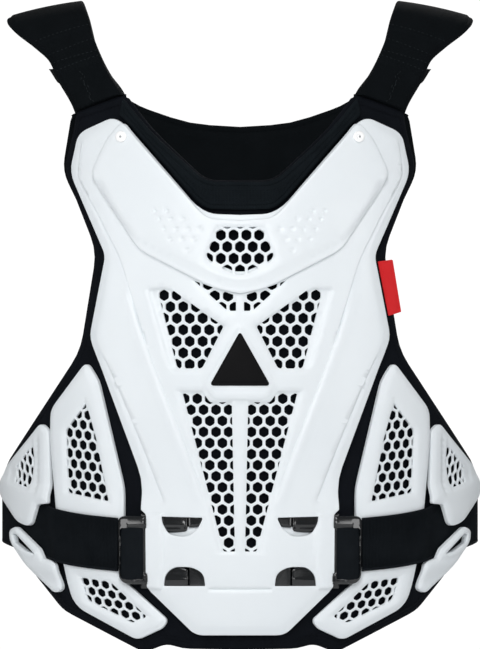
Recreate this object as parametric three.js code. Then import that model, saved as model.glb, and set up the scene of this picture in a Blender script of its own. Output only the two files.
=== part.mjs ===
// A roost deflector: the chest and back protector of an off-road rider, as it is worn.
// Millimetres, +Z up, the front faces -Y. The origin is midway between the two shoulder seats.
import * as THREE from "three";
import { mergeVertices } from "three/addons/utils/BufferGeometryUtils.js";

// Driving sizes.
const OVERALL_WIDTH = 361; // across the wing plates at the waist
const OVERALL_HEIGHT = 488.5; // from the top of the shoulder pads to the bottom hem
const SIDE_BUILD = 9; // from the torso inside the liners out to the widest plates, measured level
const SECTION_RADIUS = OVERALL_WIDTH / 2 - SIDE_BUILD; // half width of the torso inside the liners
const FRONT_DEPTH = 146; // from the shoulder line to the liner's inner face at the belly
const BACK_DEPTH = 102; // from the shoulder line to the back liner's inner face
const LINER_THICKNESS = 6; // padded front liner
const BACK_LINER_THICKNESS = 7;
const COLLAR_THICKNESS = 2.6; // padded band on the liner round the neck
const SHELL_THICKNESS = 3; // moulded chest shell
const SHELL_RISE = 3; // how far the shell's field stands over its rim
const SHELL_SHOULDER = 8; // width of the turned-down rim of the shell
const OVERLAY_THICKNESS = 2.5;
const OVERLAY_RISE = 1.2;
const OVERLAY_SHOULDER = 5;
const WINDOW_RECESS = 2; // how deep the pierced windows are sunk
const WINDOW_SLOPE = 2.4; // width of the sloped side of a window
const HEX_PITCH = 9.9; // centre to centre of the pierced hexagons
const HEX_WIDTH = 7.3; // across the flats
const PLATE_THICKNESS = 3; // side, wing and hip plates
const PLATE_RISE = 1.2;
const PLATE_SHOULDER = 4;
const BADGE_THICKNESS = 1.6;
const RIVET_RADIUS = 4.2;
const RIVET_HEIGHT = 1.8;
const RIVET_RIM = 0.32; // height of its edge, as a share
const SOCKET_RISE = 1; // how far the socket's bar stands over the shell's field
const PRONG_THICKNESS = 2.3;
const BUCKLE_THICKNESS = 4.6;
const WEBBING_WIDTH = 40;
const WEBBING_THICKNESS = 2;
const PAD_THICKNESS = 10;
const STRAP_THICKNESS = 2.4; // shoulder strap under each pad
const SLIDER_THICKNESS = 2.4;
const LABEL_THICKNESS = 1;
const BACK_SHELL_THICKNESS = 3;
const CLEARANCE = 0.5; // between two pieces that lie on each other
const WIDE_CLEARANCE = 0.8; // the same where the pieces bend more
const SOFT_EDGE = 0.55; // thickness of a padded edge, as a share of the pad's

// The front view is drawn on a sheet of columns and rows. Its left half is drawn and mirrored.
const CENTRE_COLUMN = 240;
const SHEET_COLUMNS = 478;
const SHEET_ROWS = 647;
const SEAT_ROW = 25; // the row of the shoulder seats
const COLUMN = OVERALL_WIDTH / SHEET_COLUMNS;
const ROW = OVERALL_HEIGHT / SHEET_ROWS;

// Depth of the torso down its centre line, as shares of FRONT_DEPTH and BACK_DEPTH.
const TORSO_PROFILE = [
  { row: 60, front: 0.66, back: 0.8 },
  { row: 98, front: 0.715, back: 0.85 },
  { row: 150, front: 0.79, back: 0.92 },
  { row: 216, front: 0.87, back: 0.98 },
  { row: 300, front: 0.94, back: 1 },
  { row: 390, front: 0.975, back: 0.96 },
  { row: 480, front: 0.985, back: 0.91 },
  { row: 560, front: 1, back: 0.9 },
  { row: 650, front: 0.965, back: 0.92 },
];

// Outlines of the pieces: column, row, and how much the corner is rounded, in columns.
// Pieces on the centre line list their left half from the top to the bottom.
const LINER_HALF = [
  [240, 181.5, 0],
  [206, 181.5, 12],
  [150, 130, 20],
  [120, 98, 1.5],
  [75, 115, 1.5],
  [71, 132, 12],
  [60.5, 169, 12],
  [97, 252, 16],
  [81, 350, 16],
  [4, 465, 8],
  [1.5, 492, 16],
  [10, 541, 8],
  [30, 570, 10],
  [62, 609, 8],
  [143, 649.5, 7],
  [166, 640.5, 8],
  [182, 645.5, 8],
  [240, 646.5, 0],
];
const COLLAR_HALF = [
  [240, 183, 0],
  [206.5, 183, 12],
  [150.5, 132, 20],
  [121.5, 100.5, 2],
  [119.5, 116, 3],
  [129, 124, 5],
  [197, 202.5, 10],
  [208, 210.5, 10],
  [240, 211, 0],
];
const SHELL_HALF = [
  [240, 216, 0],
  [211, 215, 10],
  [197, 207, 10],
  [128, 127, 7],
  [115, 118.5, 9],
  [80, 134, 10],
  [71, 173, 12],
  [107, 256, 7],
  [91.5, 337, 8],
  [143, 477, 12],
  [143, 507, 1],
  [150, 512, 1],
  [150, 585, 1],
  [152, 589.5, 2],
  [196, 632, 8],
  [240, 632, 0],
];
const OVERLAY_HALF = [
  [240, 221.5, 0],
  [206, 219, 10],
  [137, 141, 12],
  [122.5, 123, 6],
  [108, 138, 10],
  [92, 172, 10],
  [96, 187, 6],
  [138, 250, 10],
  [214, 289, 12],
  [240, 294, 0],
];
const BADGE_HALF = [
  [240, 331, 4],
  [210, 385, 5],
  [240, 385, 0],
];
const BACK_LINER_HALF = [
  [240, 125.5, 0],
  [190, 122.5, 20],
  [140, 105, 20],
  [121, 98, 1.5],
  [75, 115, 1.5],
  [62, 170, 14],
  [104, 252, 30],
  [86, 380, 40],
  [34, 460, 20],
  [34, 560, 16],
  [70, 596, 14],
  [150, 622, 30],
  [240, 628, 0],
];
const BACK_SHELL_HALF = [
  [240, 140, 0],
  [186, 136, 20],
  [130, 116, 10],
  [92, 132, 10],
  [78, 172, 14],
  [106, 252, 24],
  [94, 380, 30],
  [58, 462, 16],
  [58, 548, 14],
  [88, 580, 12],
  [156, 602, 24],
  [240, 608, 0],
];

// Pieces of one side: the same columns, on the left.
const SIDE_PLATE = [
  [86, 361, 8],
  [98, 380, 6],
  [124, 487, 8],
  [124, 521, 2],
  [56, 514, 2],
  [49.5, 440, 6],
  [50, 409, 8],
];
const WING_PLATE = [
  [40, 422, 6],
  [48, 430, 4],
  [50, 502.5, 2],
  [39.5, 503.5, 2],
  [33, 526, 7],
  [20, 522, 7],
  [0.8, 494, 8],
  [3.5, 467, 7],
];
const STRAP_GUIDE = [
  [12, 529, 3],
  [18.5, 525.5, 3],
  [42, 547.5, 2],
  [46, 557, 1],
  [57.5, 560.5, 4],
  [62.5, 588, 5],
  [54, 591.5, 4],
  [34, 573, 8],
  [12.5, 541, 4],
];
const GUIDE_SLOT = [
  [16.5, 533.5, 0],
  [19.5, 533, 0],
  [38, 552.5, 0],
  [29.5, 550, 0],
  [18, 541.5, 0],
];
const HIP_PLATE = [
  [62, 557, 2],
  [119, 565, 2],
  [124, 578, 5],
  [168, 617, 5],
  [163, 625, 4],
  [137, 637, 6],
  [80, 607, 8],
  [72, 597, 5],
  [67, 580, 5],
];
const SIDE_LABEL = [
  [376.5, 262, 1],
  [391, 260, 1],
  [399.5, 312, 1],
  [387, 316, 1],
];
const BUCKLE = [
  [118.5, 516, 4],
  [140.5, 515, 0],
  [144, 515, 0],
  [190, 515, 3],
  [197, 521, 2],
  [190, 530, 3],
  [144, 530, 0],
  [140.5, 531, 0],
  [140.5, 566, 0],
  [144, 567, 0],
  [190, 567, 3],
  [197, 575, 2],
  [190, 581, 3],
  [144, 581, 0],
  [140.5, 582, 0],
  [126, 579, 5],
  [118.5, 566, 5],
];
// The half-moon openings of the shell over the buckles' prongs, on the left.
const SOCKET_OPENINGS = [
  [
    [163, 515, 2],
    [202, 515, 2],
    [197, 531, 7],
    [175, 533.5, 7],
    [164, 526, 5],
  ],
  [
    [165, 583, 2],
    [205, 583, 2],
    [199, 568, 6],
    [188, 564.5, 6],
    [171, 566, 6],
  ],
];
// Between these rows, outside this column, the shell stands off the liner as a socket's bar.
const SOCKET = { top: 510.5, bottom: 587, column: 163 };
const BUCKLE_RAMP = { high: 124, low: 133, prong: 142 }; // columns of the buckle's underside and prongs

// The shell's sunk windows on the left, with a hexagon's centre that sets the pattern.
const SHELL_WINDOWS = [
  {
    corners: [
      [156, 290, 2],
      [172, 289, 2],
      [224, 327, 3],
      [202, 368, 4],
      [175, 368, 5],
    ],
    centre: [189.5, 318.5],
  },
  {
    corners: [
      [181, 391, 2],
      [203, 391, 2],
      [210, 402, 3],
      [233, 401, 2],
      [236, 549, 2],
      [222, 549, 3],
    ],
    centre: [203, 409],
  },
];
const TOP_WINDOW_HALF = [
  [240, 227, 0],
  [217, 227, 3],
  [206, 257, 3],
  [211, 264, 3],
  [235, 276, 3],
  [240, 276, 0],
];
const TOP_WINDOW_CENTRE = [240, 246.5];
const TOP_OPENING_MARGIN = 1.5; // the shell is open this much wider behind the overlay's window
const HEX_OVERHANG = 1; // how far a hexagon may reach past the edge of its window

// The waist webbing's centre line: angle round the torso from the front, row, and lift step.
const WEBBING_STATIONS = [
  { angle: 29.9, row: 542.5, over: 1 },
  { angle: 38.5, row: 539.8, over: 1 },
  { angle: 44.9, row: 536.6, over: 1 },
  { angle: 48.6, row: 534, over: 1 },
  { angle: 54.3, row: 529.6, over: 0 },
  { angle: 64, row: 524, over: 0 },
  { angle: 72.5, row: 520, over: 0 },
  { angle: 81, row: 517, over: 0 },
  { angle: 91, row: 515, over: 0 },
  { angle: 101, row: 513.5, over: 0 },
  { angle: 111, row: 512.5, over: 0 },
  { angle: 120, row: 512, over: 0.35 },
  { angle: 127, row: 511.5, over: 1 },
  { angle: 134, row: 511, over: 1 },
];

const WEBBING_LIFT_MARGIN = 5; // the plates keep their full lift this far beyond the webbing
const WEBBING_LIFT_SPREAD = 12; // and come down to the liner over this distance
const WEBBING_SLACK = 0.85; // room for the webbing under them

// Shoulder pad edges on the left from the crest down to the liner: columns and rows as above,
// depths of the outer and inner edge as shares of FRONT_DEPTH and BACK_DEPTH.
const PAD_STATIONS = [
  { outer: [10, 20], inner: [84, 2], front: [0, 0], back: [0, 0] },
  { outer: [11.5, 24.5], inner: [86.5, 9], front: [0.125, 0.16], back: [0.17, 0.2] },
  { outer: [17, 32.5], inner: [90, 20], front: [0.21, 0.25], back: [0.31, 0.36] },
  { outer: [33, 45], inner: [93.5, 36], front: [0.29, 0.345], back: [0.45, 0.52] },
  { outer: [48, 59], inner: [101, 57], front: [0.345, 0.435], back: [0.6, 0.67] },
  { outer: [57, 76], inner: [110, 77], front: [0.385, 0.52], back: [0.72, 0.775] },
  { outer: [70, 102], inner: [118, 91], front: [0.425, 0.575], back: [0.805, 0.835] },
  { outer: [74.5, 113], inner: [120, 96], front: [0.438, 0.592], back: [0.825, 0.85] },
];
const PAD_STEPS = 18;
const PAD_CREST_CORNER = 0.3; // how much of the pad's thickness its long edges are rounded by
const RIVET_PLACE = [121, 138];
const PAD_UNDERCUT = 12; // how far the underside stays in from the pad's outer edge
const STRAP_MARGIN = 0.2; // how far the strap stays in from the pad's outer edge, of its width
const STRAP_INSET = 0.3; // and in from the inner edge
const SLIDER_SPAN = { from: 0.134, to: 0.19 }; // where the slider lies, along half the pad's run
const SLIDER_OUTSET = 0.09;

// Widths of the mesh.
const LINER_GRID = 26;
const SHELL_GRID = 21;
const BACK_LINER_GRID = 36;
const BACK_SHELL_GRID = 30;
const PLATE_GRID = 16;
const BUCKLE_GRID = 9;
const FINE_STEP = 12;
const SLOT_STEP = 4;
const ARC_STEP = THREE.MathUtils.degToRad(38);
const WEBBING_STEP_DEGREES = 4.2;
const LOOP_SHARE = 0.8; // step along an outline, as a share of its grid
const HOLE_MARGIN = 1.2; // bends keep this far from the openings
const RIM_MARGIN = 2; // and this far from an outline
const CONFORMING_ROUNDS = 5;
const RIVET_POINTS = 12;

// Finishes.
const blackFabric = new THREE.MeshStandardMaterial({ color: 0x17191c, roughness: 0.9, metalness: 0 });
const blackWebbing = new THREE.MeshStandardMaterial({ color: 0x141517, roughness: 0.85, metalness: 0 });
const whitePlastic = new THREE.MeshStandardMaterial({ color: 0xf1f3f6, roughness: 0.42, metalness: 0 });
const blackPlastic = new THREE.MeshStandardMaterial({ color: 0x0c0d0f, roughness: 0.25, metalness: 0 });
const redFabric = new THREE.MeshStandardMaterial({ color: 0xd8181f, roughness: 0.8, metalness: 0 });

const across = (column) => (column - CENTRE_COLUMN) * COLUMN;
const height = (row) => (SEAT_ROW - row) * ROW;
const mirrored = (corners) => corners.map(([column, row, round]) => [2 * CENTRE_COLUMN - column, row, round]);

// A whole outline from its left half.
const bothHalves = (half) => {
  const onCentre = ([column]) => column === CENTRE_COLUMN;
  return [...half, ...mirrored(half.filter((corner) => !onCentre(corner))).reverse()];
};

const eased = (share) => {
  const s = THREE.MathUtils.clamp(share, 0, 1);
  return s * s * (3 - 2 * s);
};

// A value of the torso's table at a height, on a smooth curve through its rows.
function profileAt(z, key) {
  const rows = TORSO_PROFILE;
  const row = THREE.MathUtils.clamp(SEAT_ROW - z / ROW, rows[0].row, rows[rows.length - 1].row);
  let i = rows.findIndex((entry, k) => k > 0 && row <= entry.row) - 1;
  i = Math.max(i, 0);
  const [a, b] = [rows[i], rows[i + 1]];
  const [before, after] = [rows[Math.max(i - 1, 0)], rows[Math.min(i + 2, rows.length - 1)]];
  const span = b.row - a.row;
  const t = (row - a.row) / span;
  const slopeA = ((b[key] - before[key]) / (b.row - before.row)) * span;
  const slopeB = ((after[key] - a[key]) / (after.row - a.row)) * span;
  const [t2, t3] = [t * t, t * t * t];
  const ends = (2 * t3 - 3 * t2 + 1) * a[key] + (3 * t2 - 2 * t3) * b[key];
  return ends + (t3 - 2 * t2 + t) * slopeA + (t3 - t2) * slopeB;
}

// The torso: an angle from the front's centre line, a height, and the lift off the body.
// The front half is round and the back half is a flatter ellipse.
function torso(angle, z, lift) {
  const centre = SECTION_RADIUS - FRONT_DEPTH * profileAt(z, "front");
  const halfDepth = Math.cos(angle) >= 0 ? SECTION_RADIUS : BACK_DEPTH * profileAt(z, "back") - centre;
  const x = (SECTION_RADIUS + lift) * Math.sin(angle);
  return new THREE.Vector3(x, centre - (halfDepth + lift) * Math.cos(angle), z);
}

const angleOf = (x, lift) => Math.asin(THREE.MathUtils.clamp(x / (SECTION_RADIUS + lift), -0.999, 0.999));
const FRONT = { wrap: (arc, z, lift) => torso(arc / SECTION_RADIUS, z, lift) };
const BACK = { wrap: (arc, z, lift) => torso(Math.PI - arc / SECTION_RADIUS, z, lift) };

// A closed loop of points in the unrolled surface from corners of the front view.
function unrolledLoop(corners, lift, step) {
  const points = corners.map(([column, row, round]) => ({
    at: new THREE.Vector2(across(column), height(row)),
    round: round * COLUMN,
  }));
  const drawn = [];
  points.forEach(({ at, round }, i) => {
    const before = points[(i + points.length - 1) % points.length].at;
    const after = points[(i + 1) % points.length].at;
    const trim = Math.min(round, 0.48 * at.distanceTo(before), 0.48 * at.distanceTo(after));
    if (trim < 0.2) {
      drawn.push(at);
      return;
    }
    const start = at.clone().lerp(before, trim / at.distanceTo(before));
    const end = at.clone().lerp(after, trim / at.distanceTo(after));
    const turn = Math.PI - Math.abs(before.clone().sub(at).angleTo(after.clone().sub(at)));
    const pieces = Math.max(1, Math.round(turn / ARC_STEP));
    drawn.push(...new THREE.QuadraticBezierCurve(start, at, end).getPoints(pieces));
  });
  const loop = [];
  drawn.forEach((point, i) => {
    const next = drawn[(i + 1) % drawn.length];
    const pieces = Math.max(1, Math.ceil(point.distanceTo(next) / step));
    for (let k = 0; k < pieces; k++) {
      const at = point.clone().lerp(next, k / pieces);
      loop.push(new THREE.Vector2(angleOf(at.x, lift) * SECTION_RADIUS, at.y));
    }
  });
  return loop.filter((point, i) => point.distanceTo(loop[(i + 1) % loop.length]) > 0.05);
}

function isInside(point, loop) {
  let inside = false;
  for (let i = 0, j = loop.length - 1; i < loop.length; j = i++) {
    const [a, b] = [loop[i], loop[j]];
    if (a.y > point.y !== b.y > point.y) {
      if (point.x < ((b.x - a.x) * (point.y - a.y)) / (b.y - a.y) + a.x) inside = !inside;
    }
  }
  return inside;
}

function distanceTo(loop, point) {
  let least = Infinity;
  const edge = new THREE.Vector2();
  const toPoint = new THREE.Vector2();
  for (let i = 0; i < loop.length; i++) {
    const a = loop[i];
    edge.subVectors(loop[(i + 1) % loop.length], a);
    toPoint.subVectors(point, a);
    const t = THREE.MathUtils.clamp(toPoint.dot(edge) / edge.lengthSq(), 0, 1);
    least = Math.min(least, toPoint.addScaledVector(edge, -t).length());
  }
  return least;
}

// The loop moved inwards by a distance, without the points that come too near another stretch.
function insetLoop(loop, distance) {
  const moved = loop.map((point, i) => {
    const before = loop[(i + loop.length - 1) % loop.length];
    const after = loop[(i + 1) % loop.length];
    const along = after.clone().sub(before).normalize();
    const side = new THREE.Vector2(-along.y, along.x);
    const inwards = isInside(point.clone().addScaledVector(side, 0.05), loop) ? 1 : -1;
    return point.clone().addScaledVector(side, inwards * distance);
  });
  const clear = moved.filter((point) => isInside(point, loop) && distanceTo(loop, point) > 0.9 * distance);
  return clear.filter((point, i) => i === 0 || point.distanceTo(clear[i - 1]) > 0.6 * distance);
}

// Delaunay triangles of a set of points, by adding one point after the other.
function delaunay(points) {
  const nudge = (i, k) => 1e-5 * Math.sin(12.9898 * i + 78.233 * k);
  const sites = points.map((p, i) => [p.x + nudge(i, 1), p.y + nudge(i, 2)]);
  const reach = 1e5;
  sites.push([-reach, -reach], [reach, -reach], [0, reach]);
  const n = points.length;
  const withCircle = (a, b, c) => {
    const [[ax, ay], [bx, by], [cx, cy]] = [sites[a], sites[b], sites[c]];
    const d = 2 * ((bx - ax) * (cy - ay) - (by - ay) * (cx - ax));
    const ab = (bx - ax) ** 2 + (by - ay) ** 2;
    const ac = (cx - ax) ** 2 + (cy - ay) ** 2;
    const ux = ((cy - ay) * ab - (by - ay) * ac) / d;
    const uy = ((bx - ax) * ac - (cx - ax) * ab) / d;
    return { corners: [a, b, c], x: ax + ux, y: ay + uy, square: ux * ux + uy * uy };
  };
  let triangles = [withCircle(n, n + 1, n + 2)];
  for (let i = 0; i < n; i++) {
    const [x, y] = sites[i];
    const edges = new Map();
    const kept = [];
    for (const triangle of triangles) {
      if ((triangle.x - x) ** 2 + (triangle.y - y) ** 2 >= triangle.square) {
        kept.push(triangle);
        continue;
      }
      const [a, b, c] = triangle.corners;
      for (const [from, to] of [[a, b], [b, c], [c, a]]) {
        const back = to * (n + 3) + from;
        if (edges.has(back)) edges.delete(back);
        else edges.set(from * (n + 3) + to, [from, to]);
      }
    }
    for (const [from, to] of edges.values()) kept.push(withCircle(from, to, i));
    triangles = kept;
  }
  return triangles.map(({ corners }) => corners).filter((corners) => corners.every((c) => c < n));
}

// Delaunay triangles that keep every edge of the loops. An edge that they miss is halved.
function conformingTriangles(loops, inner) {
  for (let round = 0; ; round++) {
    const points = [...loops.flat(), ...inner];
    const triangles = delaunay(points);
    const key = (a, b) => Math.min(a, b) * points.length + Math.max(a, b);
    const edges = new Set(triangles.flatMap(([a, b, c]) => [key(a, b), key(b, c), key(c, a)]));
    let first = 0;
    const halved = loops.map((loop) => {
      const from = first;
      first += loop.length;
      return loop.flatMap((point, i) => {
        const next = (i + 1) % loop.length;
        return edges.has(key(from + i, from + next)) ? [point] : [point, point.clone().lerp(loop[next], 0.5)];
      });
    });
    const kept = halved.every((loop, i) => loop.length === loops[i].length);
    if (kept || round === CONFORMING_ROUNDS) return { points, triangles };
    loops = halved;
  }
}

// A closed geometry, turned the right way out.
function closedGeometry(vertices, triangles) {
  let volume = 0;
  const cross = new THREE.Vector3();
  for (const [a, b, c] of triangles) volume += vertices[a].dot(cross.crossVectors(vertices[b], vertices[c]));
  const outward = volume > 0 ? triangles : triangles.map(([a, b, c]) => [a, c, b]);
  const geometry = new THREE.BufferGeometry().setFromPoints(vertices);
  geometry.setIndex(outward.flat());
  const closed = mergeVertices(geometry, 1e-4);
  closed.computeVertexNormals();
  return closed;
}

// A plate that follows the torso: its outline and openings in the unrolled surface, extra
// points where it bends, and the lifts of its two faces as functions of a point.
function wrappedPlate({ surface, loop, openings = [], bends = [], grid, low, high }) {
  const inner = [...bends];
  const [xs, ys] = [loop.map((p) => p.x), loop.map((p) => p.y)];
  const rowStep = grid * Math.sin(Math.PI / 3);
  const rows = [Math.ceil(Math.min(...ys) / rowStep), Math.floor(Math.max(...ys) / rowStep)];
  for (let j = rows[0]; j <= rows[1]; j++) {
    const shift = j % 2 ? grid / 2 : 0;
    for (let i = Math.floor(Math.min(...xs) / grid) - 1; i <= Math.max(...xs) / grid + 1; i++) {
      const point = new THREE.Vector2(i * grid + shift, j * rowStep);
      if (!isInside(point, loop) || distanceTo(loop, point) < 0.5 * grid) continue;
      if (openings.some((hole) => isInside(point, hole) || distanceTo(hole, point) < 0.3 * grid)) continue;
      if (bends.some((bend) => bend.distanceTo(point) < 0.5 * grid)) continue;
      inner.push(point);
    }
  }
  const { points, triangles } = conformingTriangles([loop, ...openings], inner);
  const middle = (corners) =>
    new THREE.Vector2(
      corners.reduce((sum, c) => sum + points[c].x, 0) / 3,
      corners.reduce((sum, c) => sum + points[c].y, 0) / 3,
    );
  const kept = triangles.filter((corners) => {
    const at = middle(corners);
    return isInside(at, loop) && !openings.some((hole) => isInside(at, hole));
  });
  const edges = new Map();
  for (const [a, b, c] of kept) {
    for (const [from, to] of [[a, b], [b, c], [c, a]]) {
      const back = `${to} ${from}`;
      if (edges.has(back)) edges.delete(back);
      else edges.set(`${from} ${to}`, [from, to]);
    }
  }
  const top = points.map((p) => surface.wrap(p.x, p.y, high(p)));
  const bottom = points.map((p) => surface.wrap(p.x, p.y, low(p)));
  const under = points.length;
  const faces = kept.flatMap(([a, b, c]) => [[a, b, c], [a + under, c + under, b + under]]);
  const walls = [...edges.values()].flatMap(([from, to]) => [
    [to, from, from + under],
    [to, from + under, to + under],
  ]);
  return usedOnly([...top, ...bottom], [...faces, ...walls]);
}

function usedOnly(vertices, triangles) {
  const used = [...new Set(triangles.flat())];
  const place = new Map(used.map((old, i) => [old, i]));
  const renamed = triangles.map((corners) => corners.map((c) => place.get(c)));
  return closedGeometry(used.map((i) => vertices[i]), renamed);
}

// A solid through rings of equal numbers of points, closed at both ends.
function lofted(rings) {
  const count = rings[0].length;
  const triangles = [];
  for (let r = 0; r + 1 < rings.length; r++) {
    for (let k = 0; k < count; k++) {
      const [a, b] = [r * count + k, r * count + ((k + 1) % count)];
      triangles.push([a, b, b + count], [a, b + count, a + count]);
    }
  }
  const last = (rings.length - 1) * count;
  for (let k = 1; k + 1 < count; k++) triangles.push([0, k + 1, k], [last, last + k, last + k + 1]);
  return closedGeometry(rings.flat(), triangles);
}

const assembly = new THREE.Group();
function addPiece(name, geometry, material) {
  const mesh = new THREE.Mesh(geometry, material.clone());
  mesh.name = name;
  assembly.add(mesh);
}
const SIDES = [
  { side: "left", of: (corners) => corners, sign: -1 },
  { side: "right", of: mirrored, sign: 1 },
];

// Lifts of the faces that lie on each other.
const LINER_TOP = LINER_THICKNESS;
const ON_LINER = LINER_TOP + CLEARANCE;
const SHELL_TOP = ON_LINER + SHELL_THICKNESS + SHELL_RISE;
const PLATE_TOP = ON_LINER + PLATE_THICKNESS + PLATE_RISE;
const WEBBING_OVER = PLATE_TOP + CLEARANCE;

// A padded lift: thinner at the edge than in the field.
const paddedLift = (loop, base, thickness, edge) => (p) =>
  base + thickness * (SOFT_EDGE + (1 - SOFT_EDGE) * eased(distanceTo(loop, p) / edge));

// The front liner and the collar band on it.
function frontLiner() {
  const loop = unrolledLoop(bothHalves(LINER_HALF), LINER_TOP, LINER_GRID * LOOP_SHARE);
  const edge = LINER_THICKNESS;
  return wrappedPlate({
    surface: FRONT,
    loop,
    bends: insetLoop(loop, edge),
    grid: LINER_GRID,
    low: () => 0,
    high: paddedLift(loop, 0, LINER_THICKNESS, edge),
  });
}

function collarBand() {
  const loop = unrolledLoop(bothHalves(COLLAR_HALF), LINER_TOP, FINE_STEP);
  return wrappedPlate({
    surface: FRONT,
    loop,
    grid: PLATE_GRID,
    low: () => ON_LINER,
    high: () => ON_LINER + COLLAR_THICKNESS,
  });
}

// The chest shell. Its rim is turned down on the liner and its field stands proud.
const shellLoop = unrolledLoop(bothHalves(SHELL_HALF), ON_LINER, SHELL_GRID * LOOP_SHARE);
const rowOf = (p) => SEAT_ROW - p.y / ROW;
const radiusOf = (p, lift) => (SECTION_RADIUS + lift) * Math.sin(Math.abs(p.x) / SECTION_RADIUS);
const inSocket = (p) =>
  rowOf(p) > SOCKET.top && rowOf(p) < SOCKET.bottom && radiusOf(p, ON_LINER) > -across(SOCKET.column);
const shellRise = (p) => {
  if (inSocket(p)) return SHELL_RISE + SOCKET_RISE;
  return SHELL_RISE * Math.min(1, distanceTo(shellLoop, p) / SHELL_SHOULDER);
};
const windowLoops = SIDES.flatMap(({ of }) =>
  SHELL_WINDOWS.map(({ corners }) => unrolledLoop(of(corners), SHELL_TOP, SHELL_GRID)),
);

// Whole hexagons of a regular pattern inside a loop, as loops.
function hexagonsIn(loop, centre) {
  const start = new THREE.Vector2(angleOf(across(centre[0]), SHELL_TOP) * SECTION_RADIUS, height(centre[1]));
  const rowStep = HEX_PITCH * Math.sin(Math.PI / 3);
  const corner = HEX_WIDTH / Math.sqrt(3);
  const reach = Math.ceil(OVERALL_HEIGHT / HEX_PITCH / 2);
  const hexagons = [];
  for (let j = -reach; j <= reach; j++) {
    for (let i = -reach; i <= reach; i++) {
      const x = start.x + (i + (j % 2 ? 0.5 : 0)) * HEX_PITCH;
      const hexagon = Array.from({ length: 6 }, (_, k) => {
        const angle = ((k + 0.5) * Math.PI) / 3;
        const [dx, dy] = [corner * Math.cos(angle), corner * Math.sin(angle)];
        return new THREE.Vector2(x + dx, start.y + j * rowStep + dy);
      });
      const clear = (p) => isInside(p, loop) || distanceTo(loop, p) < HEX_OVERHANG;
      if (hexagon.every(clear)) hexagons.push(hexagon);
    }
  }
  return hexagons;
}

function recessIn(loops, p) {
  const within = loops.find((loop) => isInside(p, loop));
  return within ? WINDOW_RECESS * eased(distanceTo(within, p) / WINDOW_SLOPE) : 0;
}

const topWindow = unrolledLoop(bothHalves(TOP_WINDOW_HALF), SHELL_TOP, FINE_STEP);
const widened = (loop, margin) => {
  const middle = loop.reduce((sum, p) => sum.add(p), new THREE.Vector2()).divideScalar(loop.length);
  return loop.map((p) => p.clone().add(p.clone().sub(middle).normalize().multiplyScalar(margin)));
};

function chestShell() {
  const hexagons = SIDES.flatMap(({ of }) =>
    SHELL_WINDOWS.flatMap(({ corners, centre }) =>
      hexagonsIn(unrolledLoop(of(corners), SHELL_TOP, SHELL_GRID), of([centre])[0]),
    ),
  );
  const sunk = windowLoops.map((loop) => widened(loop, WINDOW_SLOPE / 2));
  const sockets = SIDES.flatMap(({ of }) =>
    SOCKET_OPENINGS.map((hole) => unrolledLoop(of(hole), SHELL_TOP, FINE_STEP)),
  );
  const openings = [...hexagons, ...sockets, widened(topWindow, TOP_OPENING_MARGIN)];
  const clearOfHoles = (p) =>
    openings.every((hole) => !isInside(p, hole) && distanceTo(hole, p) > HOLE_MARGIN);
  const lift = (p) => Math.max(ON_LINER, ON_LINER + shellRise(p) - recessIn(sunk, p));
  return wrappedPlate({
    surface: FRONT,
    loop: shellLoop,
    openings,
    bends: [...insetLoop(shellLoop, SHELL_SHOULDER), ...sunk.flat()].filter(clearOfHoles),
    grid: SHELL_GRID,
    low: lift,
    high: (p) => lift(p) + SHELL_THICKNESS,
  });
}

// The overlay on the upper half of the shell, pierced in its centre.
const shellTopAt = (p) => ON_LINER + SHELL_THICKNESS + shellRise(p);
const overlayLoop = unrolledLoop(bothHalves(OVERLAY_HALF), SHELL_TOP, SHELL_GRID * LOOP_SHARE);
const overlayRise = (p) => OVERLAY_RISE * eased(distanceTo(overlayLoop, p) / OVERLAY_SHOULDER);
const overlayTopAt = (p) => shellTopAt(p) + CLEARANCE + OVERLAY_THICKNESS + overlayRise(p);
function chestOverlay() {
  const openings = hexagonsIn(topWindow, TOP_WINDOW_CENTRE);
  const shellRim = insetLoop(shellLoop, SHELL_SHOULDER).filter(
    (p) => isInside(p, overlayLoop) && distanceTo(overlayLoop, p) > RIM_MARGIN,
  );
  const ownRim = insetLoop(overlayLoop, OVERLAY_SHOULDER).filter((p) =>
    shellRim.every((other) => other.distanceTo(p) > RIM_MARGIN),
  );
  return wrappedPlate({
    surface: FRONT,
    loop: overlayLoop,
    openings,
    bends: [...ownRim, ...shellRim],
    grid: SHELL_GRID,
    low: (p) => shellTopAt(p) + CLEARANCE,
    high: overlayTopAt,
  });
}

// A plain plate of even thickness, raised inside its rim, on a lift that may vary.
function raisedPlate(corners, base, thickness, openings = []) {
  const loop = unrolledLoop(corners, PLATE_TOP, PLATE_GRID * LOOP_SHARE);
  const holes = openings.map((hole) => unrolledLoop(hole, PLATE_TOP, SLOT_STEP));
  const rise = (p) => PLATE_RISE * eased(distanceTo(loop, p) / PLATE_SHOULDER);
  const clearOfHoles = (p) => holes.every((hole) => distanceTo(hole, p) > RIM_MARGIN);
  return wrappedPlate({
    surface: FRONT,
    loop,
    openings: holes,
    bends: insetLoop(loop, PLATE_SHOULDER).filter(clearOfHoles),
    grid: PLATE_GRID,
    low: (p) => base(p),
    high: (p) => base(p) + thickness + rise(p),
  });
}

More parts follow.
